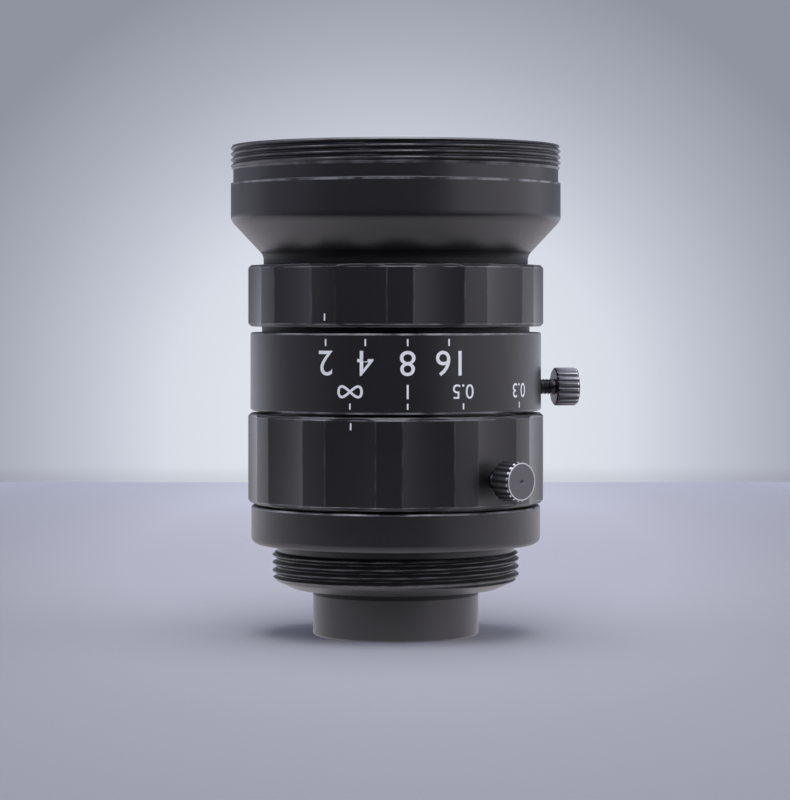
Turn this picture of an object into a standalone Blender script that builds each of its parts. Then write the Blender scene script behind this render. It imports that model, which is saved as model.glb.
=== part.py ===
"""C-mount machine vision lens, standing on its rear barrel with the front glass up.

The optical axis is Z, and z = 0 is the rim of the rear barrel. Azimuths are in degrees, from -Y
towards +X. All sizes are in metres. The lens is built as it comes apart on a bench: a mount body
with the focus ring on it, a head that slides up inside the mount body as that ring turns, an iris
ring on the head that closes six blades, and a lock screw with a soft tip for each ring.
"""
import math

import bmesh
import bpy
from mathutils import Matrix, Vector

# Fits: what is screwed or dropped in, what turns or slides, and pins in their holes and slots
SEAT_GAP = 0.0003
RUN_GAP = 0.0003
PIN_GAP = 0.0002

# Heights of the outside, from the rear rim up to the front rim
REAR_REACH = 0.00485
MOUNT_THREAD_REACH = 0.00455
SHOULDER_HEIGHT = 0.0039
FOCUS_RING_HEIGHT = 0.0092
BAND_HEIGHT = 0.00775
GROOVE_HEIGHT = 0.00085
IRIS_RING_HEIGHT = 0.0063
NECK_HEIGHT = 0.00069
CONE_HEIGHT = 0.00388
FLARE_HEIGHT = 0.00353
FRONT_RELIEF_HEIGHT = 0.0014
FRONT_THREAD_HEIGHT = 0.0025

# Radii of the outside, each from the mount thread or from its neighbour
MOUNT_THREAD_RADIUS = 0.0127
MOUNT_THREAD_DEPTH = 0.0005
REAR_BARREL_STEP = 0.00417
BAND_PROUD = 0.00228
SHOULDER_STEP = 0.00009
RING_PROUD = 0.00023
NECK_STEP = 0.00135
FRONT_THREAD_RADIUS = 0.017
FRONT_THREAD_DEPTH = 0.00025
FLARE_PROUD = 0.00026

# Edges and corners
EDGE = 0.00018
RING_EDGE = 0.0003
SHOULDER_ROUND = 0.0007
FLARE_ROUND = 0.0012
NECK_FILLET = 0.0016
MOUNT_RELIEF_HEIGHT = 0.0008
FLANGE_UNDERCUT = 0.0002
MOUNT_LEAD_HEIGHT = 0.00075
MOUNT_LEAD_DEPTH = 0.0016
MOUNT_LEAD_EDGE = 0.0004

# Flutes of both rings
FLUTES = 12
FLUTE_ANGLE = 20.0
FLUTE_DEPTH = 0.00045
FLUTE_STEPS = 5

# Walls of the turned barrels
REAR_BARREL_WALL = 0.00083
REAR_LIP_HEIGHT = 0.00175
REAR_FLANGE_HEIGHT = 0.0012
MOUNT_WALL = 0.0018
FOCUS_RING_WALL = 0.0016
TUBE_WALL = 0.0012
SLEEVE_WALL = 0.0016
SLEEVE_FOOT = 0.0007
TUBE_FOOT = 0.0006
BAND_WALL = 0.00088
WEB_HEIGHT = 0.0011
SKIRT_WALL = 0.0013
CORE_WALL = 0.001
SPIGOT_WALL = 0.0026
FRONT_WALL = 0.0027
FRONT_MOUTH_CHAMFER = 0.0007

# The ring that keeps the focus ring down on the mount body
RETAINER_WIDTH = 0.0004
RETAINER_HEIGHT = 0.0006

# Focus drive: a follower pin in the head, a straight slot in the tube, a helical groove in the ring
FOCUS_TRAVEL = 0.0007
FOCUS_TURN = 240.0
FOLLOWER_RADIUS = 0.0006
FOLLOWER_AZIMUTH = 215.0
FOLLOWER_DROP = 0.0038
FOLLOWER_REACH = 0.0005
GROOVE_STEPS = 24

# Iris: six blades on pivots, a cam rotor that turns with the ring, a base plate under the blades
BLADES = 6
IRIS_TURN = 48.0
BLADE_TURN = 25.0
BLADE_AZIMUTH = 20.0
BLADE_HEIGHT = 0.00015
BLADE_STEP = 0.0004
BLADE_GAP = 0.00025
PIVOT_INSET = 0.0025
CAM_ANGLE = 35.0
BLADE_INSET = 0.0011
BLADE_WIDTH = 0.0027
BLADE_ANGLE = 118.0
BLADE_HEEL_ANGLE = 6.0
BLADE_BACK_ANGLE = 46.0
BLADE_NOSE_ANGLE = 12.0
BLADE_PAD_RADIUS = 0.00095
BLADE_PIN_RADIUS = 0.00045
BASE_HEIGHT = 0.0006
ROTOR_HEIGHT = 0.0008
ROTOR_TOP_GAP = 0.0004
ROTOR_RIM = 0.0003
DRIVE_PIN_RADIUS = 0.0006
DRIVE_PIN_AZIMUTH = 200.0
DRIVE_PIN_BITE = 0.001

# Lock screws: a knurled head, a plain shank and a soft tip that bears on a turned track
TRACK_DEPTH = 0.0006
TRACK_HALF_HEIGHT = 0.001
LOCK_LIFT = 0.00035
TIP_RADIUS = 0.0006
TIP_LENGTH = 0.0006
TIP_GAP = 0.0001
SHANK_RADIUS = 0.0008
FOCUS_SHANK_LENGTH = 0.00224
IRIS_SHANK_LENGTH = 0.0025
KNOB_RADIUS = 0.00195
KNOB_LENGTH = 0.0024
KNOB_EDGE = 0.00016
KNURL_DEPTH = 0.00016
KNURL_RIDGES = 20
FOCUS_LOCK_AZIMUTH = 69.0
FOCUS_LOCK_HEIGHT = 0.00286
IRIS_LOCK_AZIMUTH = 127.0
IRIS_LOCK_HEIGHT = 0.0023

# Azimuth of one land of the iris ring; the focus lock screw stands in a flute of its own ring
IRIS_LAND_AZIMUTH = 29.0

# Glass in the front barrel
FRONT_GLASS_DROP = 0.0038
FRONT_GLASS_LEAST = 0.00194
FRONT_GLASS_RIM = 0.0009
FRONT_GLASS_CURVE = 0.03
FRONT_HOLLOW_RADIUS = 0.008
FRONT_HOLLOW_CURVE = 0.0105
FRONT_SEAT_STEP = 0.0008
FRONT_RING_HEIGHT = 0.0014
FRONT_RING_WIDTH = 0.0015
SPANNER_SLOT_WIDTH = 0.001
SPANNER_SLOT_DEPTH = 0.0006
SECOND_GLASS_RADIUS = 0.009
SECOND_GLASS_LEAST = 0.00105
SECOND_GLASS_RIM = 0.0008
SECOND_GLASS_CURVE = 0.02
SECOND_HOLLOW_RADIUS = 0.006
SECOND_HOLLOW_CURVE = 0.008
FRONT_SPACER_HEIGHT = 0.0013
FRONT_WEB_HEIGHT = 0.0007
FRONT_WEB_WIDTH = 0.0014
THIRD_GLASS_LEAST = 0.0012
THIRD_GLASS_RIM = 0.0013
THIRD_GLASS_CURVE = 0.022
GROUP_RING_HEIGHT = 0.0007
GROUP_RING_WIDTH = 0.001

# Rear cell and its glass
CELL_TOP_GAP = 0.0003
CELL_WALL = 0.0015
CELL_NOSE_WALL = 0.001
CELL_NOSE_RECESS = 0.0009
NOSE_SEAT_RISE = 0.00135
NOSE_WEB_HEIGHT = 0.0007
NOSE_SEAT_WIDTH = 0.0012
CELL_SEAT_RISE = 0.0013
CELL_SEAT_WIDTH = 0.0013
REAR_GLASS_LEAST = 0.0027
REAR_GLASS_RIM = 0.0011
REAR_GLASS_TOP_CURVE = 0.014
REAR_GLASS_FOOT_CURVE = 0.03
NOSE_RING_HEIGHT = 0.0013
NOSE_RING_WIDTH = 0.0011
POSITIVE_LEAST = 0.003
POSITIVE_RIM = 0.0007
POSITIVE_TOP_CURVE = 0.018
POSITIVE_FOOT_CURVE = 0.03
CELL_SPACER_HEIGHT = 0.0035
CELL_RING_WIDTH = 0.0006
CELL_RING_HEIGHT = 0.0012
FLINT_LEAST = 0.00058
CEMENT_CURVE = 0.018
FLINT_FOOT_CURVE = 0.04
CROWN_LEAST = 0.0012
CROWN_TOP_CURVE = 0.016

# Facets round the axis and along an arc
BARREL_STEPS = 36
CELL_STEPS = 24
GLASS_STEPS = 20
ARC_STEPS = 3
PIN_SIDES = 10

# Levels that follow from the heights
MOUNT_END_Z = REAR_REACH
FLANGE_Z = MOUNT_END_Z + MOUNT_THREAD_REACH
SHOULDER_TOP_Z = FLANGE_Z + SHOULDER_HEIGHT
FOCUS_RING_Z = SHOULDER_TOP_Z + RUN_GAP
FOCUS_RING_TOP_Z = FOCUS_RING_Z + FOCUS_RING_HEIGHT
BAND_Z = FOCUS_RING_TOP_Z + RUN_GAP
BAND_TOP_Z = BAND_Z + BAND_HEIGHT
IRIS_RING_Z = BAND_TOP_Z + GROOVE_HEIGHT
IRIS_RING_TOP_Z = IRIS_RING_Z + IRIS_RING_HEIGHT
FRONT_Z = IRIS_RING_TOP_Z + RUN_GAP
CONE_Z = FRONT_Z + NECK_HEIGHT
FLARE_Z = CONE_Z + CONE_HEIGHT
FLARE_TOP_Z = FLARE_Z + FLARE_HEIGHT
FRONT_THREAD_Z = FLARE_TOP_Z + FRONT_RELIEF_HEIGHT
RIM_Z = FRONT_THREAD_Z + FRONT_THREAD_HEIGHT

# Radii that follow, from the outside in
REAR_BARREL_RADIUS = MOUNT_THREAD_RADIUS - REAR_BARREL_STEP
BAND_RADIUS = MOUNT_THREAD_RADIUS + BAND_PROUD
RING_RADIUS = BAND_RADIUS + RING_PROUD
FLUTE_FLOOR_RADIUS = RING_RADIUS - FLUTE_DEPTH
SHOULDER_RADIUS = BAND_RADIUS - SHOULDER_STEP
MOUNT_RELIEF_RADIUS = MOUNT_THREAD_RADIUS - MOUNT_THREAD_DEPTH
FOCUS_BORE_RADIUS = RING_RADIUS - FOCUS_RING_WALL
TUBE_RADIUS = FOCUS_BORE_RADIUS - RUN_GAP
TUBE_BORE_RADIUS = TUBE_RADIUS - TUBE_WALL
SLEEVE_RADIUS = TUBE_BORE_RADIUS - RUN_GAP
SLEEVE_BORE_RADIUS = SLEEVE_RADIUS - SLEEVE_WALL
BAND_BORE_RADIUS = BAND_RADIUS - BAND_WALL
SKIRT_RADIUS = BAND_BORE_RADIUS - RUN_GAP
SKIRT_BORE_RADIUS = SKIRT_RADIUS - SKIRT_WALL
CORE_RADIUS = SKIRT_BORE_RADIUS - RUN_GAP
CORE_BORE_RADIUS = CORE_RADIUS - CORE_WALL
NECK_RADIUS = BAND_RADIUS - NECK_STEP
FLARE_RADIUS = FRONT_THREAD_RADIUS + FLARE_PROUD
FRONT_RELIEF_RADIUS = FRONT_THREAD_RADIUS - FRONT_THREAD_DEPTH
SPIGOT_RADIUS = CORE_BORE_RADIUS - SEAT_GAP
REAR_BORE_RADIUS = REAR_BARREL_RADIUS - REAR_BARREL_WALL
REAR_SEAT_RADIUS = MOUNT_THREAD_RADIUS - MOUNT_WALL
CELL_RADIUS = SLEEVE_BORE_RADIUS - SEAT_GAP
CELL_BORE_RADIUS = CELL_RADIUS - CELL_WALL
NOSE_RADIUS = REAR_BORE_RADIUS - RUN_GAP
NOSE_BORE_RADIUS = NOSE_RADIUS - CELL_NOSE_WALL
NOSE_HOLE_RADIUS = NOSE_BORE_RADIUS - NOSE_SEAT_WIDTH
THIRD_GLASS_RADIUS = SPIGOT_RADIUS - SPIGOT_WALL - SEAT_GAP
WEB_HOLE_RADIUS = THIRD_GLASS_RADIUS + SEAT_GAP - FRONT_WEB_WIDTH
PIVOT_RADIUS = SPIGOT_RADIUS - PIVOT_INSET
BLADE_OUTER_RADIUS = PIVOT_RADIUS - BLADE_INSET
BLADE_INNER_RADIUS = BLADE_OUTER_RADIUS - BLADE_WIDTH
ROTOR_BORE_RADIUS = BLADE_INNER_RADIUS + ROTOR_RIM
FOCUS_TRACK_RADIUS = TUBE_RADIUS - TRACK_DEPTH
IRIS_TRACK_RADIUS = SKIRT_RADIUS - TRACK_DEPTH



def rise(surface):
    """How far a glass surface (half width, radius of curvature, bulge) stands up in its middle."""
    half_width, curve, bulge = surface
    return bulge * (curve - math.sqrt(curve * curve - half_width * half_width))


def edge_height(least, top, foot):
    """The height of a glass's edge, from its least thickness, which is at its edge or its middle."""
    return least + max(0.0, rise(foot) - rise(top))


# Glass surfaces: half width, radius of curvature, and 1 where it bulges up or -1 where it bulges down
FRONT_GLASS_RADIUS = FRONT_THREAD_RADIUS - FRONT_WALL - FRONT_SEAT_STEP - SEAT_GAP
FRONT_TOP = (FRONT_GLASS_RADIUS - FRONT_GLASS_RIM, FRONT_GLASS_CURVE, 1)
FRONT_FOOT = (FRONT_HOLLOW_RADIUS, FRONT_HOLLOW_CURVE, 1)
SECOND_TOP = (SECOND_GLASS_RADIUS - SECOND_GLASS_RIM, SECOND_GLASS_CURVE, 1)
SECOND_FOOT = (SECOND_HOLLOW_RADIUS, SECOND_HOLLOW_CURVE, 1)
THIRD_TOP = (THIRD_GLASS_RADIUS - THIRD_GLASS_RIM, THIRD_GLASS_CURVE, 1)
THIRD_FOOT = (THIRD_GLASS_RADIUS - THIRD_GLASS_RIM, THIRD_GLASS_CURVE, -1)

# Levels of the front glass, from the rim down to the spigot's end
FRONT_GLASS_TOP_Z = RIM_Z - FRONT_GLASS_DROP
FRONT_GLASS_Z = FRONT_GLASS_TOP_Z - edge_height(FRONT_GLASS_LEAST, FRONT_TOP, FRONT_FOOT)
SECOND_GLASS_TOP_Z = FRONT_GLASS_Z - 2 * SEAT_GAP - FRONT_SPACER_HEIGHT
SECOND_GLASS_Z = SECOND_GLASS_TOP_Z - edge_height(SECOND_GLASS_LEAST, SECOND_TOP, SECOND_FOOT)
FRONT_WEB_Z = SECOND_GLASS_Z - SEAT_GAP - FRONT_WEB_HEIGHT
THIRD_GLASS_TOP_Z = FRONT_WEB_Z - SEAT_GAP
THIRD_GLASS_Z = THIRD_GLASS_TOP_Z - edge_height(THIRD_GLASS_LEAST, THIRD_TOP, THIRD_FOOT)
SPIGOT_Z = THIRD_GLASS_Z - 2 * SEAT_GAP - GROUP_RING_HEIGHT

# Inner levels of the iris, the barrels and the rear cell
TUBE_TOP_Z = FOCUS_RING_TOP_Z - RUN_GAP
REAR_SEAT_Z = MOUNT_END_Z + REAR_LIP_HEIGHT
TUBE_FOOT_Z = FLANGE_Z + TUBE_FOOT
SLEEVE_Z = TUBE_FOOT_Z + SLEEVE_FOOT
WEB_TOP_Z = BAND_Z + WEB_HEIGHT
SKIRT_Z = WEB_TOP_Z + RUN_GAP
CORE_TOP_Z = FRONT_Z - SEAT_GAP
ROTOR_Z = SPIGOT_Z - ROTOR_TOP_GAP - ROTOR_HEIGHT
BLADES_Z = ROTOR_Z - BLADE_GAP - BLADE_HEIGHT - (BLADES - 1) * BLADE_STEP
BASE_Z = BLADES_Z - BLADE_GAP - BASE_HEIGHT
LEDGE_Z = BASE_Z - SEAT_GAP
CELL_TOP_Z = LEDGE_Z - CELL_TOP_GAP
NOSE_SEAT_Z = MOUNT_END_Z + NOSE_SEAT_RISE
CELL_SEAT_Z = SLEEVE_Z + CELL_SEAT_RISE
DRIVE_PIN_Z = ROTOR_Z + ROTOR_HEIGHT / 2
FOLLOWER_Z = FOCUS_RING_TOP_Z - FOLLOWER_DROP
FOCUS_LOCK_Z = FOCUS_RING_Z + FOCUS_LOCK_HEIGHT
IRIS_LOCK_Z = BAND_Z + IRIS_LOCK_HEIGHT

# Colours, each with a roughness and a metallic value
BLACK_ANODISED = ((0.022, 0.022, 0.026), 0.42, 0.6)
MATT_BLACK = ((0.010, 0.010, 0.011), 0.7, 0.2)
BLACK_STEEL = ((0.030, 0.030, 0.033), 0.38, 0.9)
BRIGHT_STEEL = ((0.55, 0.55, 0.56), 0.3, 1.0)
TIP_NYLON = ((0.80, 0.79, 0.74), 0.5, 0.0)
COATED_GLASS = ((0.10, 0.16, 0.20), 0.05, 0.0)


def new_collection(name):
    collection = bpy.data.collections.new(name)
    bpy.context.scene.collection.children.link(collection)
    return collection


def clear_scene():
    for obj in list(bpy.data.objects):
        bpy.data.objects.remove(obj, do_unlink=True)


def material(name, look):
    """A Principled material with a colour, a roughness and a metallic value."""
    color, roughness, metallic = look
    made = bpy.data.materials.new(name)
    made.use_nodes = True
    shader = made.node_tree.nodes["Principled BSDF"]
    shader.inputs["Base Color"].default_value = (*color, 1.0)
    shader.inputs["Roughness"].default_value = roughness
    shader.inputs["Metallic"].default_value = metallic
    return made


def add_object(name, mesh, group):
    obj = bpy.data.objects.new(name, mesh)
    group.objects.link(obj)
    return obj


def arc(center, radius, start, end, steps=ARC_STEPS):
    """Points (r, z) on an arc round center, from the start angle to the end angle in degrees."""
    points = []
    for i in range(steps + 1):
        angle = math.radians(start + (end - start) * i / steps)
        points.append((center[0] + radius * math.cos(angle), center[1] + radius * math.sin(angle)))
    return points


def polar(radius, azimuth):
    """x and y of a point at an azimuth, which runs from -Y towards +X."""
    angle = math.radians(azimuth)
    return radius * math.sin(angle), -radius * math.cos(angle)


def turned(name, outline, group, steps=BARREL_STEPS, closed=True):
    """A turned piece: the outline (r, z) runs down its outer side and back up its bore."""
    count = len(outline)
    edges = [(i, i + 1) for i in range(count - 1)]
    if closed:
        edges.append((count - 1, 0))
    mesh = bpy.data.meshes.new(name)
    mesh.from_pydata([(r, 0.0, z) for r, z in outline], edges, [])
    obj = add_object(name, mesh, group)
    screw = obj.modifiers.new("Turn", "SCREW")
    screw.steps = steps
    screw.render_steps = steps
    screw.use_merge_vertices = True
    screw.merge_threshold = 0.000001
    return obj


def plate(name, outlines, low, height, group):
    """A flat piece between two levels: the first outline (x, y) is its edge, the others its holes."""
    curve = bpy.data.curves.new(name, "CURVE")
    curve.dimensions = "2D"
    curve.fill_mode = "BOTH"
    curve.extrude = height / 2
    for outline in outlines:
        spline = curve.splines.new("POLY")
        spline.points.add(len(outline) - 1)
        for point, (x, y) in zip(spline.points, outline):
            point.co = (x, y, 0.0, 1.0)
        spline.use_cyclic_u = True
    flat = add_object(name + "_flat", curve, group)
    bpy.context.view_layer.update()
    mesh = bpy.data.meshes.new_from_object(flat.evaluated_get(bpy.context.evaluated_depsgraph_get()))
    bpy.data.objects.remove(flat, do_unlink=True)
    work = bmesh.new()
    work.from_mesh(mesh)
    bmesh.ops.remove_doubles(work, verts=work.verts, dist=0.000001)
    bmesh.ops.recalc_face_normals(work, faces=work.faces)
    bmesh.ops.translate(work, verts=work.verts, vec=(0.0, 0.0, low + height / 2))
    work.to_mesh(mesh)
    work.free()
    mesh.name = name
    return add_object(name, mesh, group)


def upright_pin(name, radius, low, high, place, group):
    """A pin along Z between two levels, at x and y."""
    mesh = bpy.data.meshes.new(name)
    work = bmesh.new()
    bmesh.ops.create_cone(
        work, cap_ends=True, segments=PIN_SIDES, radius1=radius, radius2=radius, depth=high - low
    )
    bmesh.ops.translate(work, verts=work.verts, vec=(place[0], place[1], (low + high) / 2))
    work.to_mesh(mesh)
    work.free()
    return add_object(name, mesh, group)


def radial_pin(name, radius, inner, outer, group, sides=PIN_SIDES):
    """A pin whose own Z axis points outwards once it is aimed; inner and outer are distances
    from the optical axis."""
    mesh = bpy.data.meshes.new(name)
    work = bmesh.new()
    bmesh.ops.create_cone(
        work, cap_ends=True, segments=sides, radius1=radius, radius2=radius, depth=outer - inner
    )
    bmesh.ops.translate(work, verts=work.verts, vec=(0.0, 0.0, (inner + outer) / 2))
    work.to_mesh(mesh)
    work.free()
    return add_object(name, mesh, group)


def aim(obj, azimuth, level):
    """Turns an object's own Z axis outwards at an azimuth, on the optical axis at a level."""
    outward = Vector((*polar(1.0, azimuth), 0.0))
    across = Vector((0.0, 0.0, 1.0)).cross(outward)
    turn = Matrix((across, outward.cross(across), outward)).transposed()
    obj.matrix_world = Matrix.Translation((0.0, 0.0, level)) @ turn.to_4x4()
    return obj


def radial_slot(name, inner, outer, width, low, high, azimuth, group):
    """A box that runs outwards at an azimuth, between two levels."""
    mesh = bpy.data.meshes.new(name)
    work = bmesh.new()
    bmesh.ops.create_cube(work, size=1.0)
    bmesh.ops.scale(work, verts=work.verts, vec=(width, high - low, outer - inner))
    bmesh.ops.translate(work, verts=work.verts, vec=(0.0, 0.0, (inner + outer) / 2))
    work.to_mesh(mesh)
    work.free()
    return aim(add_object(name, mesh, group), azimuth, (low + high) / 2)


def swept_slot(name, inner, outer, low, high, start, end, rise, group):
    """A rectangle swept round the axis from one azimuth to another while it rises."""
    mesh = bpy.data.meshes.new(name)
    work = bmesh.new()
    corners = [(inner, low), (outer, low), (outer, high), (inner, high)]
    section = [work.verts.new((*polar(r, start), z)) for r, z in corners]
    face = work.faces.new(section)
    bmesh.ops.spin(
        work,
        geom=[face, *face.edges, *face.verts],
        cent=(0.0, 0.0, 0.0),
        axis=(0.0, 0.0, 1.0),
        dvec=(0.0, 0.0, rise / GROOVE_STEPS),
        angle=math.radians(end - start),
        steps=GROOVE_STEPS,
    )
    bmesh.ops.remove_doubles(work, verts=work.verts, dist=0.000001)
    bmesh.ops.holes_fill(work, edges=work.edges, sides=4)
    bmesh.ops.recalc_face_normals(work, faces=work.faces)
    work.to_mesh(mesh)
    work.free()
    return add_object(name, mesh, group)


def combine(obj, other, operation):
    step = obj.modifiers.new(other.name, "BOOLEAN")
    step.operation = operation
    step.object = other
    step.solver = "EXACT"
    other.hide_render = True
    other.display_type = "WIRE"


def finish(obj, look):
    """Applies a piece's modifiers, shades its round surfaces smooth and gives it its material."""
    bpy.context.view_layer.update()
    baked = bpy.data.meshes.new_from_object(obj.evaluated_get(bpy.context.evaluated_depsgraph_get()))
    obj.modifiers.clear()
    obj.data = baked
    baked.name = obj.name
    baked.shade_smooth()
    baked.set_sharp_from_angle(angle=math.radians(35.0))
    baked.materials.clear()
    baked.materials.append(material(obj.name + "_finish", look))
    return obj


def circle(radius, steps, start=0.0):
    return [polar(radius, start + 360.0 * i / steps) for i in range(steps)]


def flute_cutter(name, low, high, first_land, group):
    """Twelve bars with a hollow inner side: each cuts one shallow flute between two lands."""
    half = math.radians(FLUTE_ANGLE / 2)
    chord = RING_RADIUS * math.sin(half)
    dish = RING_RADIUS * math.cos(half) - FLUTE_FLOOR_RADIUS
    curve = (chord * chord + dish * dish) / (2 * dish)
    sweep = math.asin(chord / curve)
    edge = []
    for i in range(FLUTE_STEPS + 1):
        angle = sweep * (2 * i / FLUTE_STEPS - 1)
        edge.append((curve * math.sin(angle), FLUTE_FLOOR_RADIUS + curve * (1 - math.cos(angle))))
    beyond = RING_RADIUS * 1.1
    slope = math.tan(half)
    edge.append((beyond * slope, beyond))
    edge.append((-beyond * slope, beyond))
    whole = bmesh.new()
    for i in range(FLUTES):
        middle = math.radians(first_land + 360.0 / FLUTES * (i + 0.5))
        across = Vector((math.cos(middle), math.sin(middle), 0.0))
        outward = Vector((math.sin(middle), -math.cos(middle), 0.0))
        floor = Vector((0.0, 0.0, low))
        ring = [whole.verts.new(across * x + outward * y + floor) for x, y in edge]
        face = whole.faces.new(ring)
        made = bmesh.ops.extrude_face_region(whole, geom=[face], use_keep_orig=True)
        top = [item for item in made["geom"] if isinstance(item, bmesh.types.BMVert)]
        bmesh.ops.translate(whole, verts=top, vec=(0.0, 0.0, high - low))
    bmesh.ops.recalc_face_normals(whole, faces=whole.faces)
    mesh = bpy.data.meshes.new(name)
    whole.to_mesh(mesh)
    whole.free()
    return add_object(name, mesh, group)


def dome(surface, level, steps=ARC_STEPS):
    """Points (r, z) of a glass surface from the axis outwards; level is where it meets its rim."""
    half_width, curve, bulge = surface
    rim = math.sqrt(curve * curve - half_width * half_width)
    points = []
    for i in range(steps + 1):
        r = half_width * math.sin(math.pi / 2 * i / steps)
        points.append((r, level + bulge * (math.sqrt(curve * curve - r * r) - rim)))
    return points


def glass(name, radius, low, high, top, foot, group):
    """A glass element between two levels of its edge, with a flat rim round both surfaces."""
    upper = dome(top, high)
    lower = dome(foot, low)
    outline = upper + [(radius, high), (radius, low)] + lower[::-1]
    tidy = [outline[0]]
    for point in outline[1:]:
        if math.dist(point, tidy[-1]) > SEAT_GAP / 10:
            tidy.append(point)
    return finish(turned(name, tidy, group, GLASS_STEPS, closed=False), COATED_GLASS)


def ring(name, inner, outer, low, high, group):
    """A plain turned ring between two radii and two levels."""
    outline = [(outer, high), (outer, low), (inner, low), (inner, high)]
    return finish(turned(name, outline, group, CELL_STEPS), MATT_BLACK)


def mount_body(parts, cutters):
    outline = [
        (TUBE_RADIUS, TUBE_TOP_Z),
        (TUBE_RADIUS, FOCUS_LOCK_Z + TRACK_HALF_HEIGHT),
        (FOCUS_TRACK_RADIUS, FOCUS_LOCK_Z + TRACK_HALF_HEIGHT),
        (FOCUS_TRACK_RADIUS, FOCUS_LOCK_Z - TRACK_HALF_HEIGHT),
        (TUBE_RADIUS, FOCUS_LOCK_Z - TRACK_HALF_HEIGHT),
        (TUBE_RADIUS, SHOULDER_TOP_Z),
        (SHOULDER_RADIUS - EDGE, SHOULDER_TOP_Z),
        (SHOULDER_RADIUS, SHOULDER_TOP_Z - EDGE),
        *arc((SHOULDER_RADIUS - SHOULDER_ROUND, FLANGE_Z + SHOULDER_ROUND), SHOULDER_ROUND, 0.0, -90.0),
        (MOUNT_THREAD_RADIUS + SEAT_GAP, FLANGE_Z),
        (MOUNT_THREAD_RADIUS + SEAT_GAP, FLANGE_Z + FLANGE_UNDERCUT),
        (MOUNT_RELIEF_RADIUS, FLANGE_Z + FLANGE_UNDERCUT),
        (MOUNT_RELIEF_RADIUS, FLANGE_Z - MOUNT_RELIEF_HEIGHT),
        (MOUNT_THREAD_RADIUS, FLANGE_Z - MOUNT_RELIEF_HEIGHT - MOUNT_THREAD_DEPTH / 2),
        (MOUNT_THREAD_RADIUS, MOUNT_END_Z + MOUNT_LEAD_HEIGHT + MOUNT_LEAD_EDGE),
        (MOUNT_THREAD_RADIUS - MOUNT_LEAD_EDGE, MOUNT_END_Z + MOUNT_LEAD_HEIGHT),
        (MOUNT_THREAD_RADIUS - MOUNT_LEAD_EDGE - MOUNT_LEAD_DEPTH, MOUNT_END_Z),
        (REAR_BARREL_RADIUS + SEAT_GAP, MOUNT_END_Z),
        (REAR_BARREL_RADIUS + SEAT_GAP, REAR_SEAT_Z),
        (REAR_SEAT_RADIUS, REAR_SEAT_Z),
        (REAR_SEAT_RADIUS, TUBE_FOOT_Z),
        (TUBE_BORE_RADIUS, TUBE_FOOT_Z),
        (TUBE_BORE_RADIUS, TUBE_TOP_Z),
    ]
    obj = turned("mount_body", outline, parts)
    play = FOLLOWER_RADIUS + PIN_GAP
    slot = radial_slot(
        "follower_slot",
        TUBE_BORE_RADIUS - RUN_GAP / 2,
        TUBE_RADIUS + RUN_GAP / 2,
        2 * play,
        FOLLOWER_Z - play,
        FOLLOWER_Z + FOCUS_TRAVEL + play,
        FOLLOWER_AZIMUTH,
        cutters,
    )
    combine(obj, slot, "DIFFERENCE")
    return finish(obj, BLACK_ANODISED)


def rear_barrel(parts):
    flange_z = REAR_SEAT_Z + SEAT_GAP
    flange_radius = REAR_SEAT_RADIUS - SEAT_GAP
    top = flange_z + REAR_FLANGE_HEIGHT
    outline = [
        (flange_radius, top),
        (flange_radius, flange_z),
        (REAR_BARREL_RADIUS, flange_z),
        (REAR_BARREL_RADIUS, EDGE),
        (REAR_BARREL_RADIUS - EDGE, 0.0),
        (REAR_BORE_RADIUS, 0.0),
        (REAR_BORE_RADIUS, top),
    ]
    return finish(turned("rear_barrel", outline, parts), BLACK_ANODISED)


def focus_ring(parts, cutters):
    step_radius = TUBE_RADIUS + SEAT_GAP + RETAINER_WIDTH + PIN_GAP
    step_z = TUBE_TOP_Z - RETAINER_HEIGHT - RUN_GAP
    outline = [
        (RING_RADIUS - RING_EDGE, FOCUS_RING_TOP_Z),
        (RING_RADIUS, FOCUS_RING_TOP_Z - RING_EDGE),
        (RING_RADIUS, FOCUS_RING_Z + RING_EDGE),
        (RING_RADIUS - RING_EDGE, FOCUS_RING_Z),
        (FOCUS_BORE_RADIUS, FOCUS_RING_Z),
        (FOCUS_BORE_RADIUS, step_z),
        (step_radius, step_z),
        (step_radius, FOCUS_RING_TOP_Z),
    ]
    obj = turned("focus_ring", outline, parts)
    first_land = FOCUS_LOCK_AZIMUTH - 180.0 / FLUTES
    margin = RING_EDGE
    low = FOCUS_RING_Z - margin
    high = FOCUS_RING_TOP_Z + margin
    combine(obj, flute_cutter("focus_flutes", low, high, first_land, cutters), "DIFFERENCE")
    hole = radial_pin(
        "focus_lock_hole", SHANK_RADIUS + PIN_GAP, FOCUS_TRACK_RADIUS, RING_RADIUS, cutters
    )
    combine(obj, aim(hole, FOCUS_LOCK_AZIMUTH, FOCUS_LOCK_Z), "DIFFERENCE")
    play = FOLLOWER_RADIUS + PIN_GAP
    spare = math.degrees(play / TUBE_RADIUS)
    lead = FOCUS_TRAVEL / FOCUS_TURN
    groove = swept_slot(
        "follower_groove",
        TUBE_RADIUS,
        FOCUS_BORE_RADIUS + FOLLOWER_REACH + PIN_GAP,
        FOLLOWER_Z - play - lead * spare,
        FOLLOWER_Z + play - lead * spare,
        FOLLOWER_AZIMUTH + spare,
        FOLLOWER_AZIMUTH - FOCUS_TURN - spare,
        FOCUS_TRAVEL + 2 * lead * spare,
        cutters,
    )
    combine(obj, groove, "DIFFERENCE")
    return finish(obj, BLACK_ANODISED)


def focus_ring_retainer(parts):
    inner = TUBE_RADIUS + SEAT_GAP
    low = TUBE_TOP_Z - RETAINER_HEIGHT
    return ring("focus_ring_retainer", inner, inner + RETAINER_WIDTH, low, TUBE_TOP_Z, parts)


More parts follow.
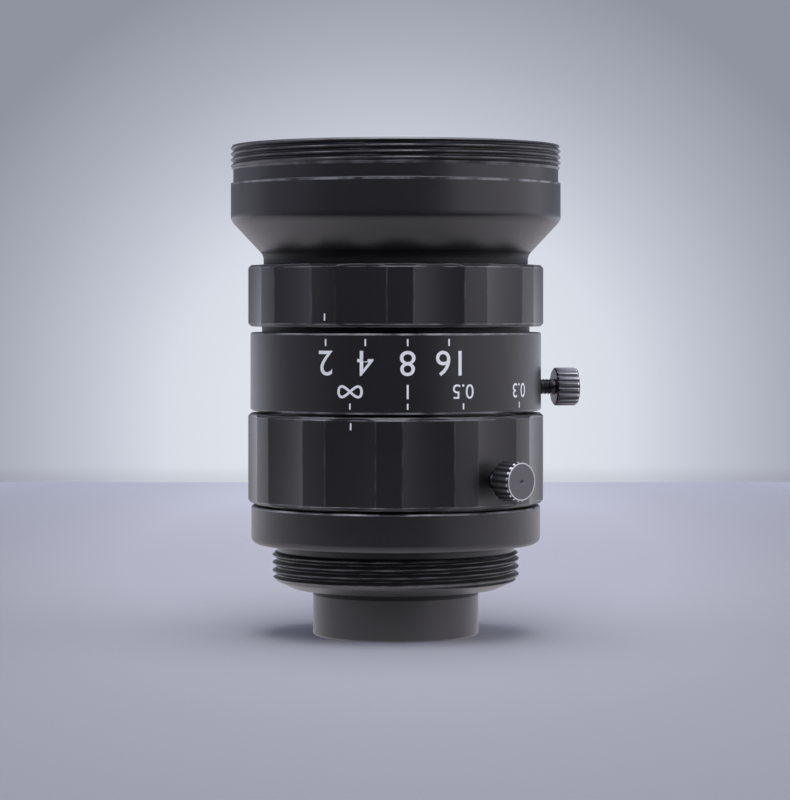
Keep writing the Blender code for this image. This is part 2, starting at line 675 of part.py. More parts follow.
def main_barrel(parts, cutters):
    outline = [
        (CORE_RADIUS, CORE_TOP_Z),
        (CORE_RADIUS, WEB_TOP_Z),
        (BAND_BORE_RADIUS, WEB_TOP_Z),
        (BAND_BORE_RADIUS, BAND_TOP_Z),
        (BAND_RADIUS - EDGE, BAND_TOP_Z),
        (BAND_RADIUS, BAND_TOP_Z - EDGE),
        (BAND_RADIUS, BAND_Z + EDGE),
        (BAND_RADIUS - EDGE, BAND_Z),
        (SLEEVE_RADIUS, BAND_Z),
        (SLEEVE_RADIUS, SLEEVE_Z),
        (SLEEVE_BORE_RADIUS, SLEEVE_Z),
        (SLEEVE_BORE_RADIUS, LEDGE_Z),
        (CORE_BORE_RADIUS, LEDGE_Z),
        (CORE_BORE_RADIUS, CORE_TOP_Z),
    ]
    obj = turned("main_barrel", outline, parts)
    play = DRIVE_PIN_RADIUS + PIN_GAP
    spare = math.degrees(play / CORE_BORE_RADIUS)
    slot = swept_slot(
        "drive_pin_slot",
        SPIGOT_RADIUS,
        SKIRT_BORE_RADIUS,
        DRIVE_PIN_Z - play,
        DRIVE_PIN_Z + play,
        DRIVE_PIN_AZIMUTH - spare,
        DRIVE_PIN_AZIMUTH + IRIS_TURN + spare,
        0.0,
        cutters,
    )
    combine(obj, slot, "DIFFERENCE")
    hole = radial_pin(
        "iris_lock_hole", SHANK_RADIUS + PIN_GAP, SKIRT_RADIUS, BAND_RADIUS + RING_PROUD, cutters
    )
    combine(obj, aim(hole, IRIS_LOCK_AZIMUTH, IRIS_LOCK_Z), "DIFFERENCE")
    hole = radial_pin(
        "follower_hole", FOLLOWER_RADIUS + PIN_GAP, CELL_RADIUS, TUBE_BORE_RADIUS, cutters
    )
    combine(obj, aim(hole, FOLLOWER_AZIMUTH, FOLLOWER_Z), "DIFFERENCE")
    return finish(obj, BLACK_ANODISED)


def focus_follower_pin(parts):
    outer = FOCUS_BORE_RADIUS + FOLLOWER_REACH
    pin = radial_pin("focus_follower_pin", FOLLOWER_RADIUS, SLEEVE_BORE_RADIUS, outer, parts)
    return finish(aim(pin, FOLLOWER_AZIMUTH, FOLLOWER_Z), BRIGHT_STEEL)


def iris_ring(parts, cutters):
    outline = [
        (RING_RADIUS - RING_EDGE, IRIS_RING_TOP_Z),
        (RING_RADIUS, IRIS_RING_TOP_Z - RING_EDGE),
        (RING_RADIUS, IRIS_RING_Z + RING_EDGE),
        (RING_RADIUS - RING_EDGE, IRIS_RING_Z),
        (SKIRT_RADIUS, IRIS_RING_Z),
        (SKIRT_RADIUS, IRIS_LOCK_Z + TRACK_HALF_HEIGHT),
        (IRIS_TRACK_RADIUS, IRIS_LOCK_Z + TRACK_HALF_HEIGHT),
        (IRIS_TRACK_RADIUS, SKIRT_Z),
        (SKIRT_BORE_RADIUS, SKIRT_Z),
        (SKIRT_BORE_RADIUS, IRIS_RING_TOP_Z),
    ]
    obj = turned("iris_ring", outline, parts)
    margin = RING_EDGE
    low = IRIS_RING_Z - margin
    high = IRIS_RING_TOP_Z + margin
    combine(obj, flute_cutter("iris_flutes", low, high, IRIS_LAND_AZIMUTH, cutters), "DIFFERENCE")
    hole = radial_pin(
        "drive_pin_hole",
        DRIVE_PIN_RADIUS + PIN_GAP,
        CORE_RADIUS,
        SKIRT_BORE_RADIUS + DRIVE_PIN_BITE + PIN_GAP,
        cutters,
    )
    combine(obj, aim(hole, DRIVE_PIN_AZIMUTH, DRIVE_PIN_Z), "DIFFERENCE")
    return finish(obj, BLACK_ANODISED)


def iris_drive_pin(parts):
    """A pin from the iris ring, through the core's slot, into the notch in the rotor's edge."""
    inner = rotor_notch_radius() + PIN_GAP
    outer = SKIRT_BORE_RADIUS + DRIVE_PIN_BITE
    pin = radial_pin("iris_drive_pin", DRIVE_PIN_RADIUS, inner, outer, parts)
    return finish(aim(pin, DRIVE_PIN_AZIMUTH, DRIVE_PIN_Z), BRIGHT_STEEL)


def rotor_notch_radius():
    return PIVOT_RADIUS + BLADE_PIN_RADIUS + 2 * PIN_GAP + RUN_GAP


def blade_azimuth(index):
    return BLADE_AZIMUTH + 360.0 / BLADES * index


def turned_about(point, center, angle):
    """A point (x, y) turned about a centre by degrees."""
    cosine = math.cos(math.radians(angle))
    sine = math.sin(math.radians(angle))
    x = point[0] - center[0]
    y = point[1] - center[1]
    return center[0] + x * cosine - y * sine, center[1] + x * sine + y * cosine


def iris_base_plate(parts):
    """The plate under the blades, with a hole for each pivot pin."""
    outlines = [circle(SPIGOT_RADIUS, CELL_STEPS), circle(BLADE_INNER_RADIUS, CELL_STEPS)]
    for i in range(BLADES):
        x, y = polar(PIVOT_RADIUS, blade_azimuth(i))
        hole = circle(BLADE_PIN_RADIUS + PIN_GAP, PIN_SIDES)
        outlines.append([(x + u, y + v) for u, v in hole])
    obj = plate("iris_base_plate", outlines, BASE_Z, BASE_HEIGHT, parts)
    return finish(obj, MATT_BLACK)


def cam_slot(index, steps=6):
    """The closed outline of a rotor slot: the way a blade's cam pin goes, seen from the rotor."""
    pivot = polar(PIVOT_RADIUS, blade_azimuth(index))
    start = polar(PIVOT_RADIUS, blade_azimuth(index) + CAM_ANGLE)
    way = []
    for i in range(steps + 1):
        share = i / steps
        place = turned_about(start, pivot, BLADE_TURN * share)
        way.append(Vector(turned_about(place, (0.0, 0.0), -IRIS_TURN * share)))
    half = BLADE_PIN_RADIUS + PIN_GAP
    left = []
    right = []
    for i, point in enumerate(way):
        along = (way[min(i + 1, steps)] - way[max(i - 1, 0)]).normalized()
        side = Vector((-along.y, along.x)) * half
        left.append(point + side)
        right.append(point - side)
    caps = []
    for end, other in ((way[-1], way[-2]), (way[0], way[1])):
        along = (end - other).normalized() * half
        side = Vector((-along.y, along.x))
        caps.append([end + along * 0.7 + side * 0.7, end + along, end + along * 0.7 - side * 0.7])
    return left + caps[0] + right[::-1] + caps[1]


def iris_rotor(parts):
    """The cam plate: a slot for each blade's cam pin, and a notch that the ring's pin turns it by."""
    notch = rotor_notch_radius()
    half = DRIVE_PIN_RADIUS + PIN_GAP
    edge = []
    for i in range(CELL_STEPS):
        azimuth = DRIVE_PIN_AZIMUTH + 360.0 * i / CELL_STEPS
        if i == 0:
            mouth = math.sqrt(SPIGOT_RADIUS * SPIGOT_RADIUS - half * half)
            corners = [(-half, mouth), (-half, notch), (half, notch), (half, mouth)]
            for across, out in corners:
                x, y = polar(out, azimuth)
                u, v = polar(across, azimuth + 90.0)
                edge.append((x + u, y + v))
        else:
            edge.append(polar(SPIGOT_RADIUS, azimuth))
    outlines = [edge, circle(ROTOR_BORE_RADIUS, CELL_STEPS)]
    for i in range(BLADES):
        outlines.append(cam_slot(i))
    obj = plate("iris_rotor", outlines, ROTOR_Z, ROTOR_HEIGHT, parts)
    return finish(obj, MATT_BLACK)


def pad(center, azimuth, turns):
    """Points (x, y) on the round pad about a pin, at azimuths counted from the pin's own."""
    points = []
    for turn in turns:
        x, y = polar(BLADE_PAD_RADIUS, azimuth + turn)
        points.append((center[0] + x, center[1] + y))
    return points


def sweep(radius, start, end, steps):
    """Points (x, y) round the axis from one azimuth to another."""
    return [polar(radius, start + (end - start) * i / steps) for i in range(steps + 1)]


def blade_outline(index):
    """A crescent round the axis with a pad at its pivot and one at its cam pin, ring fully open."""
    first = blade_azimuth(index)
    tip = first + BLADE_ANGLE
    pivot = polar(PIVOT_RADIUS, first)
    cam = polar(PIVOT_RADIUS, first + CAM_ANGLE)
    nose = polar((BLADE_INNER_RADIUS + BLADE_OUTER_RADIUS) / 2, tip - BLADE_NOSE_ANGLE / 4)
    return [
        *sweep(BLADE_INNER_RADIUS, tip, first + BLADE_HEEL_ANGLE, 7),
        *pad(pivot, first, (215.0, 250.0, 290.0, 330.0, 370.0)),
        *pad(cam, first + CAM_ANGLE, (-15.0, 25.0, 65.0, 100.0)),
        *sweep(BLADE_OUTER_RADIUS, first + BLADE_BACK_ANGLE, tip - BLADE_NOSE_ANGLE, 4),
        nose,
    ]


def iris_blade(index, parts, cutters):
    """A blade with its pivot pin down in the base plate and its cam pin up in the rotor."""
    name = f"iris_blade_{index + 1}"
    low = BLADES_Z + index * BLADE_STEP
    high = low + BLADE_HEIGHT
    obj = plate(name, [blade_outline(index)], low, BLADE_HEIGHT, parts)
    inside = BLADE_HEIGHT / 3
    pivot = polar(PIVOT_RADIUS, blade_azimuth(index))
    cam = polar(PIVOT_RADIUS, blade_azimuth(index) + CAM_ANGLE)
    foot = BASE_Z + PIN_GAP / 2
    top = ROTOR_Z + ROTOR_HEIGHT - PIN_GAP / 2
    down = upright_pin(name + "_pivot", BLADE_PIN_RADIUS, foot, low + inside, pivot, cutters)
    combine(obj, down, "UNION")
    up = upright_pin(name + "_cam", BLADE_PIN_RADIUS, high - inside, top, cam, cutters)
    combine(obj, up, "UNION")
    finish(obj, BLACK_STEEL)
    obj.data.transform(Matrix.Translation((-pivot[0], -pivot[1], 0.0)))
    obj.location = (pivot[0], pivot[1], 0.0)
    return obj


def front_barrel(parts):
    slope = math.degrees(math.atan2(CONE_HEIGHT, FLARE_RADIUS - NECK_RADIUS))
    lean = 90.0 - slope
    fillet_reach = NECK_FILLET * math.tan(math.radians(lean / 2))
    round_reach = FLARE_ROUND * math.tan(math.radians(lean / 2))
    fillet = arc((NECK_RADIUS + NECK_FILLET, CONE_Z - fillet_reach), NECK_FILLET, 180.0 - lean, 180.0)
    corner = arc((FLARE_RADIUS - FLARE_ROUND, FLARE_Z + round_reach), FLARE_ROUND, 0.0, -lean)
    bore = FRONT_THREAD_RADIUS - FRONT_WALL
    seat = bore - FRONT_SEAT_STEP
    second_bore = SECOND_GLASS_RADIUS + SEAT_GAP
    third_bore = THIRD_GLASS_RADIUS + SEAT_GAP
    outline = [
        (FRONT_THREAD_RADIUS - EDGE, RIM_Z),
        (FRONT_THREAD_RADIUS, RIM_Z - EDGE),
        (FRONT_THREAD_RADIUS, FRONT_THREAD_Z + FRONT_THREAD_DEPTH),
        (FRONT_RELIEF_RADIUS, FRONT_THREAD_Z),
        (FRONT_RELIEF_RADIUS, FLARE_TOP_Z),
        (FLARE_RADIUS - EDGE, FLARE_TOP_Z),
        (FLARE_RADIUS, FLARE_TOP_Z - EDGE),
        *corner,
        *fillet,
        (NECK_RADIUS, FRONT_Z),
        (SPIGOT_RADIUS, FRONT_Z),
        (SPIGOT_RADIUS, SPIGOT_Z),
        (third_bore, SPIGOT_Z),
        (third_bore, FRONT_WEB_Z),
        (WEB_HOLE_RADIUS, FRONT_WEB_Z),
        (WEB_HOLE_RADIUS, FRONT_WEB_Z + FRONT_WEB_HEIGHT),
        (second_bore, FRONT_WEB_Z + FRONT_WEB_HEIGHT),
        (second_bore, FRONT_GLASS_Z - SEAT_GAP),
        (seat, FRONT_GLASS_Z - SEAT_GAP),
        (seat, FRONT_GLASS_TOP_Z),
        (bore, FRONT_GLASS_TOP_Z),
        (bore, RIM_Z - FRONT_MOUTH_CHAMFER),
        (bore + FRONT_MOUTH_CHAMFER, RIM_Z),
    ]
    return finish(turned("front_barrel", outline, parts), BLACK_ANODISED)


def front_group(parts, cutters):
    """Three glasses, a spacer and two retaining rings in the front barrel."""
    glass(
        "front_meniscus", FRONT_GLASS_RADIUS, FRONT_GLASS_Z, FRONT_GLASS_TOP_Z, FRONT_TOP, FRONT_FOOT, parts
    )
    low = FRONT_GLASS_TOP_Z + SEAT_GAP
    high = low + FRONT_RING_HEIGHT
    outer = FRONT_THREAD_RADIUS - FRONT_WALL - SEAT_GAP
    inner = outer - FRONT_RING_WIDTH
    outline = [(outer, high), (outer, low), (inner, low), (inner, high - EDGE), (inner + EDGE, high)]
    keeper = turned("front_retaining_ring", outline, parts)
    for i in range(2):
        slot = radial_slot(
            f"spanner_slot_{i + 1}",
            inner - SEAT_GAP,
            outer + SEAT_GAP,
            SPANNER_SLOT_WIDTH,
            high - SPANNER_SLOT_DEPTH,
            high + SEAT_GAP,
            180.0 * i,
            cutters,
        )
        combine(keeper, slot, "DIFFERENCE")
    finish(keeper, MATT_BLACK)
    low = SECOND_GLASS_TOP_Z + SEAT_GAP
    inner = SECOND_TOP[0]
    ring("front_spacer", inner, SECOND_GLASS_RADIUS, low, low + FRONT_SPACER_HEIGHT, parts)
    glass(
        "second_meniscus",
        SECOND_GLASS_RADIUS,
        SECOND_GLASS_Z,
        SECOND_GLASS_TOP_Z,
        SECOND_TOP,
        SECOND_FOOT,
        parts,
    )
    glass(
        "third_positive", THIRD_GLASS_RADIUS, THIRD_GLASS_Z, THIRD_GLASS_TOP_Z, THIRD_TOP, THIRD_FOOT, parts
    )
    high = THIRD_GLASS_Z - SEAT_GAP
    inner = THIRD_GLASS_RADIUS - GROUP_RING_WIDTH
    ring("front_group_ring", inner, THIRD_GLASS_RADIUS, high - GROUP_RING_HEIGHT, high, parts)


def rear_cell(parts):
    outline = [
        (CELL_RADIUS, CELL_TOP_Z),
        (CELL_RADIUS, SLEEVE_Z),
        (NOSE_RADIUS, SLEEVE_Z),
        (NOSE_RADIUS, CELL_NOSE_RECESS + EDGE),
        (NOSE_RADIUS - EDGE, CELL_NOSE_RECESS),
        (NOSE_BORE_RADIUS, CELL_NOSE_RECESS),
        (NOSE_BORE_RADIUS, NOSE_SEAT_Z),
        (NOSE_HOLE_RADIUS, NOSE_SEAT_Z),
        (NOSE_HOLE_RADIUS, NOSE_SEAT_Z + NOSE_WEB_HEIGHT),
        (CELL_BORE_RADIUS - CELL_SEAT_WIDTH, CELL_SEAT_Z),
        (CELL_BORE_RADIUS, CELL_SEAT_Z),
        (CELL_BORE_RADIUS, CELL_TOP_Z),
    ]
    return finish(turned("rear_cell", outline, parts, CELL_STEPS), MATT_BLACK)


def rear_group(parts):
    """The rear element in the cell's nose, then a positive element and a doublet above it."""
    radius = NOSE_BORE_RADIUS - SEAT_GAP
    top = (radius - REAR_GLASS_RIM, REAR_GLASS_TOP_CURVE, 1)
    foot = (radius - REAR_GLASS_RIM, REAR_GLASS_FOOT_CURVE, 1)
    high = NOSE_SEAT_Z - SEAT_GAP
    low = high - edge_height(REAR_GLASS_LEAST, top, foot)
    glass("rear_element", radius, low, high, top, foot, parts)
    high = low - SEAT_GAP
    ring("rear_retaining_ring", radius - NOSE_RING_WIDTH, radius, high - NOSE_RING_HEIGHT, high, parts)

    radius = CELL_BORE_RADIUS - SEAT_GAP
    half = radius - POSITIVE_RIM
    inner = radius - CELL_RING_WIDTH
    foot_half = CELL_BORE_RADIUS - CELL_SEAT_WIDTH - SEAT_GAP
    top = (half, POSITIVE_TOP_CURVE, 1)
    foot = (foot_half, POSITIVE_FOOT_CURVE, -1)
    low = CELL_SEAT_Z + SEAT_GAP
    high = low + edge_height(POSITIVE_LEAST, top, foot)
    glass("rear_positive", radius, low, high, top, foot, parts)
    low = high + SEAT_GAP
    high = low + CELL_SPACER_HEIGHT
    ring("rear_spacer", inner, radius, low, high, parts)
    cement = (radius, CEMENT_CURVE, -1)
    foot = (half, FLINT_FOOT_CURVE, 1)
    low = high + SEAT_GAP
    high = low + edge_height(FLINT_LEAST, cement, foot)
    glass("doublet_flint", radius, low, high, cement, foot, parts)
    top = (half, CROWN_TOP_CURVE, 1)
    low = high + SEAT_GAP
    high = low + edge_height(CROWN_LEAST, top, cement)
    glass("doublet_crown", radius, low, high, top, cement, parts)
    low = high + SEAT_GAP
    ring("rear_group_ring", inner, radius, low, low + CELL_RING_HEIGHT, parts)


def knurled_screw_mesh(name, shank_length):
    """A thumbscrew along +Z from its shank's end, with a ridge at every second side of its head."""
    sides = 2 * KNURL_RIDGES
    face = shank_length + KNOB_LENGTH
    edge_radius = KNOB_RADIUS - KNOB_EDGE
    valley = KNOB_RADIUS - KNURL_DEPTH
    sections = [
        (0.0, SHANK_RADIUS, SHANK_RADIUS),
        (shank_length, SHANK_RADIUS, SHANK_RADIUS),
        (shank_length, edge_radius, edge_radius),
        (shank_length + KNOB_EDGE, KNOB_RADIUS, valley),
        (face - KNOB_EDGE, KNOB_RADIUS, valley),
        (face, edge_radius, edge_radius),
    ]
    work = bmesh.new()
    rings = []
    for level, crest, trough in sections:
        places = [polar(trough if i % 2 else crest, 360.0 * i / sides) for i in range(sides)]
        rings.append([work.verts.new((x, y, level)) for x, y in places])
    for lower, upper in zip(rings, rings[1:]):
        for i in range(sides):
            work.faces.new((lower[i - 1], lower[i], upper[i], upper[i - 1]))
    work.faces.new(rings[0])
    work.faces.new(rings[-1])
    bmesh.ops.recalc_face_normals(work, faces=work.faces)
    mesh = bpy.data.meshes.new(name)
    work.to_mesh(mesh)
    work.free()
    mesh.shade_smooth()
    mesh.set_sharp_from_angle(angle=math.radians(12.0))
    mesh.materials.append(material(name + "_finish", BLACK_STEEL))
    return mesh


def lock_screw(name, shank_length, track_radius, azimuth, level, parts):
    """A thumbscrew and its soft tip, which stands off its track by the lift."""
    tip_inner = track_radius + LOCK_LIFT
    tip_outer = tip_inner + TIP_LENGTH
    tip = radial_pin(name + "_tip", TIP_RADIUS, tip_inner, tip_outer, parts)
    finish(aim(tip, azimuth, level), TIP_NYLON)
    mesh = knurled_screw_mesh(name + "_screw", shank_length)
    screw = add_object(name + "_screw", mesh, parts)
    aim(screw, azimuth, level)
    start = tip_outer + TIP_GAP
    screw.location = (*polar(start, azimuth), level)
    return screw


def build():
    clear_scene()
    parts = new_collection("c_mount_machine_vision_lens")
    cutters = new_collection("cutters")
    mount_body(parts, cutters)
    rear_barrel(parts)
    focus_ring(parts, cutters)
    focus_ring_retainer(parts)
    main_barrel(parts, cutters)
    focus_follower_pin(parts)
    iris_ring(parts, cutters)
    iris_drive_pin(parts)
    iris_base_plate(parts)
    iris_rotor(parts)
    for index in range(BLADES):
        iris_blade(index, parts, cutters)
    front_barrel(parts)
    front_group(parts, cutters)
    rear_cell(parts)
    rear_group(parts)
    lock_screw(
        "focus_lock", FOCUS_SHANK_LENGTH, FOCUS_TRACK_RADIUS, FOCUS_LOCK_AZIMUTH, FOCUS_LOCK_Z, parts
    )
    lock_screw("iris_lock", IRIS_SHANK_LENGTH, IRIS_TRACK_RADIUS, IRIS_LOCK_AZIMUTH, IRIS_LOCK_Z, parts)


build()
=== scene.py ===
# %% [markdown]
# # A C-mount machine vision lens
# A small lens for a factory camera, standing on its rear end. Nearly all of it is black anodised
# aluminium that was turned on a lathe, so nearly every piece is a profile carried round one axis.
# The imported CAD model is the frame: it says where everything goes, in metres.

# %% Load the frame
import math

import bmesh
import bpy
import numpy as np
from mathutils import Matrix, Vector


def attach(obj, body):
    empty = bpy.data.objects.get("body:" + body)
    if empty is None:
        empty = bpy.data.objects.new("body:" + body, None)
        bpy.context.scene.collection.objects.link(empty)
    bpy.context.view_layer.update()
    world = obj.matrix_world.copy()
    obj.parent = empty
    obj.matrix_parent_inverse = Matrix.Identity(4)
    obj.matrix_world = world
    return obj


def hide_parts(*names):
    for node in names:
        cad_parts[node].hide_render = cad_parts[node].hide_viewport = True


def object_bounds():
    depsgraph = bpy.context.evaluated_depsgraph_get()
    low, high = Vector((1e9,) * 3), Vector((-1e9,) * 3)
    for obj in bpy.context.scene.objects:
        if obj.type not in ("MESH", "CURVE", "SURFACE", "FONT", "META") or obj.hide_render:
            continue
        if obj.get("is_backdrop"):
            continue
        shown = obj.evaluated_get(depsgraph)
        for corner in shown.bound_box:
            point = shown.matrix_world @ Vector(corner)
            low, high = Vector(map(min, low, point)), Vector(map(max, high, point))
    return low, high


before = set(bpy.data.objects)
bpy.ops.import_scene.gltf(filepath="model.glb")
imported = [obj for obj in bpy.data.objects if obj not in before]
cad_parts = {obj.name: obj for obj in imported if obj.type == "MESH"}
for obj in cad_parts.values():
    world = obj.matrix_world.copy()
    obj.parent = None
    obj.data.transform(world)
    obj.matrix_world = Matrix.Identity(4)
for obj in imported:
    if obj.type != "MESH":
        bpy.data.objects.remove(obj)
cad_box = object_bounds()
MM = 0.001

# %% [markdown]
# ## The camera
# The lens was photographed from 0.3 m, level, from a little above its middle. A level camera keeps
# upright lines upright, so the picture is moved up by the lens shift and not by a tilt.

# %% Camera
IMAGE_HEIGHT = 800
FOCAL_PIXELS = 2934.6
SENSOR_MM = 36.0
SHIFT_RIGHT = -0.0009
SHIFT_UP = -0.1163
VIEW_AZIMUTH = math.radians(26.5)
CAMERA_DISTANCE = 0.303
CAMERA_HEIGHT = 0.0337
TO_CAMERA = np.array([math.sin(VIEW_AZIMUTH), -math.cos(VIEW_AZIMUTH), 0.0])
TO_RIGHT = np.array([math.cos(VIEW_AZIMUTH), math.sin(VIEW_AZIMUTH), 0.0])


def place(right, near, up):
    """A point in metres: so far to the camera's right, so far towards the camera, so far up."""
    return right * TO_RIGHT + near * TO_CAMERA + np.array([0.0, 0.0, up])


def linked(name, data):
    """A new object in the scene."""
    obj = bpy.data.objects.new(name, data)
    bpy.context.collection.objects.link(obj)
    return obj


camera = linked("camera", bpy.data.cameras.new("camera"))
camera.location = place(0.0, CAMERA_DISTANCE, CAMERA_HEIGHT)
camera.rotation_euler = (math.pi / 2, 0.0, VIEW_AZIMUTH)
camera.data.sensor_width = SENSOR_MM
camera.data.lens = FOCAL_PIXELS * SENSOR_MM / IMAGE_HEIGHT
camera.data.shift_x = SHIFT_RIGHT
camera.data.shift_y = SHIFT_UP
camera.data.clip_start = 0.01
bpy.context.scene.camera = camera
bpy.context.scene.view_settings.view_transform = "Standard"
print("camera: focal length", round(camera.data.lens, 1), "mm")

# %% [markdown]
# ## Colours and nodes
# A screen colour is written as sRGB hex, and a shader wants linear light, so one function turns
# one into the other. Another adds a node with its settings and its links. The short ones after it
# add the nodes that come up again and again, and give back the socket that the next node needs.


# %% Helpers for materials
def linear(code):
    """Linear RGBA of an sRGB hex colour: c / 12.92 below 0.04045, else ((c + 0.055) / 1.055) ^ 2.4."""
    parts = [int(code[i : i + 2], 16) / 255 for i in (1, 3, 5)]
    return (*(c / 12.92 if c <= 0.04045 else ((c + 0.055) / 1.055) ** 2.4 for c in parts), 1.0)


def new_material(name):
    """A material with an empty node tree."""
    material = bpy.data.materials.new(name)
    material.use_nodes = True
    material.node_tree.nodes.clear()
    return material


def add(material, kind, settings=None, **inputs):
    """Adds a shader node: settings are its own fields, and inputs are numbers, colours or sockets.

    An input goes by its name, with _ for a space, or as i0, i1 and so on by its place.
    """
    node = material.node_tree.nodes.new("ShaderNode" + kind)
    for field, value in (settings or {}).items():
        setattr(node, field, value)
    for name, value in inputs.items():
        by_place = name[0] == "i" and name[1:].isdigit()
        slot = node.inputs[int(name[1:]) if by_place else name.replace("_", " ")]
        if isinstance(value, bpy.types.NodeSocket):
            material.node_tree.links.new(value, slot)
        else:
            slot.default_value = value
    return node


def own_place(material):
    """The piece's own coordinates, in metres."""
    return add(material, "TexCoord").outputs["Object"]


def number_math(material, operation, *values):
    """The result of a Math node on numbers or sockets."""
    inputs = {f"i{i}": value for i, value in enumerate(values)}
    return add(material, "Math", {"operation": operation}, **inputs).outputs[0]


def vector_math(material, operation, *values, **named):
    """The result of a Vector Math node: a number for a length or a dot product, else a vector."""
    inputs = {f"i{i}": value for i, value in enumerate(values)}
    node = add(material, "VectorMath", {"operation": operation}, **inputs, **named)
    return node.outputs["Value" if operation in ("LENGTH", "DOT_PRODUCT") else "Vector"]


def remapped(material, value, low, high, to_low=0.0, to_high=1.0, course="LINEAR"):
    """A value moved from one range to another one, and held at its ends."""
    ends = {"From_Min": low, "From_Max": high, "To_Min": to_low, "To_Max": to_high}
    settings = {"interpolation_type": course}
    return add(material, "MapRange", settings, Value=value, **ends).outputs["Result"]


def noise(material, where, scale, detail):
    """Noise around 0.5, with so many lumps a metre."""
    return add(material, "TexNoise", Vector=where, Scale=scale, Detail=detail).outputs["Fac"]


def mixed(material, factor, first, second):
    """Two colours mixed: all of the first at factor 0, and all of the second at 1."""
    inputs = {"Factor": factor, "i6": first, "i7": second}
    return add(material, "Mix", {"data_type": "RGBA"}, **inputs).outputs[2]


def ramp(material, factor, stops):
    """A colour ramp with stops (position, hex)."""
    node = add(material, "ValToRGB", Fac=factor)
    elements = node.color_ramp.elements
    while len(elements) < len(stops):
        elements.new(0.5)
    for element, (position, code) in zip(elements, stops):
        element.position = position
        element.color = linear(code)
    return node.outputs["Color"]


def surfaced(material, kind, **inputs):
    """The material with its last shader, which gets these inputs."""
    shader = add(material, kind, **inputs)
    add(material, "OutputMaterial", Surface=shader.outputs[0])
    return material


print("white is", linear("#ffffff")[:3])

# %% [markdown]
# ## Floor and backdrop
# The lens stands on a plain grey-blue sheet, and behind it the sheet rises into a wall with a soft
# glow in its middle. The lamps light the floor, so that it takes the lens's shadow. On top of that
# the floor's colour carries painted light: it is palest in a long oval pool round the lens and
# behind it, a painted pool of light, and is lifted far behind, where less light arrives. A shiny
# surface that mirrors the floor sees a glowing pale sheet with a dark surround instead, painted
# light that only reflections show. The wall's glow is a colour that fades with the distance from
# its middle, and is a little dimmer at its foot.

# %% Floor and backdrop
FLOOR_FRONT = 1.2
FLOOR_BACK = 0.262
SWEEP_RADIUS = 0.02
WALL_HEIGHT = 0.9
STAGE_HALF = 1.1
PAINTED_POOL_BEHIND = 0.12
PAINTED_POOL_HALF_WIDTH = 0.075
PAINTED_POOL_HALF_DEPTH = 0.25
PAINTED_LIFT_FROM = -0.06
PAINTED_LIFT_TO = -0.26
FAR_PAINTED_LIFT = 0.58
SHEET_NARROWER = 0.6
SHEET_EDGE = (0.13, 0.19)
GLOW_LEVEL = 0.012
GLOW_FLATTER = 1.05
GLOW_REACH = 0.1


def sheet_mesh(name, profile, half_width):
    """A sheet: each point (near, up) of the profile is carried to both sides of the camera's line."""
    rows = [[place(side * half_width, near, up) for side in (-1.0, 1.0)] for near, up in profile]
    verts = np.array(rows).reshape(-1, 3)
    first = 2 * np.arange(len(profile) - 1)
    faces = np.stack([first, first + 1, first + 3, first + 2], axis=1)
    mesh = bpy.data.meshes.new(name)
    mesh.from_pydata(verts.tolist(), [], faces.tolist())
    mesh.update()
    obj = linked(name, mesh)
    obj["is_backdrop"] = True
    return obj


turn = np.linspace(0.0, math.pi / 2, 9)
sweep = [(-FLOOR_BACK - SWEEP_RADIUS * math.sin(a), SWEEP_RADIUS * (1 - math.cos(a))) for a in turn]
floor = sheet_mesh("floor", [(FLOOR_FRONT, 0.0), (-FLOOR_BACK, 0.0)], STAGE_HALF)
wall = sheet_mesh("backdrop", sweep + [(-FLOOR_BACK - SWEEP_RADIUS, WALL_HEIGHT)], STAGE_HALF)

paper = new_material("grey_blue_paper")
where = own_place(paper)
across = vector_math(paper, "DOT_PRODUCT", where, tuple(TO_RIGHT))
near = vector_math(paper, "DOT_PRODUCT", where, tuple(TO_CAMERA))
# Painted light: far behind the lens the floor's colour is lifted, where less light arrives.
behind = number_math(paper, "POWER", remapped(paper, near, PAINTED_LIFT_FROM, PAINTED_LIFT_TO), 2.0)
painted_lift = number_math(paper, "MULTIPLY_ADD", behind, FAR_PAINTED_LIFT, 1.0)
# Painted light: the floor's colour is palest in an oval pool round the lens and behind it.
near = number_math(paper, "ADD", near, PAINTED_POOL_BEHIND)
oval = add(paper, "CombineXYZ", X=across, Y=near).outputs[0]
painted_pool = vector_math(paper, "MULTIPLY", oval, (1 / PAINTED_POOL_HALF_WIDTH, 1 / PAINTED_POOL_HALF_DEPTH, 0.0))
painted_pool = vector_math(paper, "LENGTH", painted_pool)
colour = ramp(paper, painted_pool, [(0.0, "#b5b5bd"), (0.5, "#aeaeb7"), (0.75, "#9d9ea6"), (1.0, "#92939c")])
colour = vector_math(paper, "SCALE", colour, Scale=painted_lift)
shade = add(paper, "BsdfDiffuse", Color=colour)
# Painted light: reflections see the floor as a glowing pale sheet with a dark surround, free of shadow.
far = vector_math(paper, "MULTIPLY", oval, (SHEET_NARROWER, 1.0, 0.0))
far = remapped(paper, vector_math(paper, "LENGTH", far), *SHEET_EDGE, course="SMOOTHSTEP")
mirrored = ramp(paper, far, [(0.0, "#faf6ff"), (1.0, "#48474f")])
mirrored = add(paper, "Emission", Color=mirrored)
shiny = add(paper, "LightPath").outputs["Is Glossy Ray"]
surfaced(paper, "MixShader", Fac=shiny, i1=shade.outputs[0], i2=mirrored.outputs[0])
floor.data.materials.append(paper)

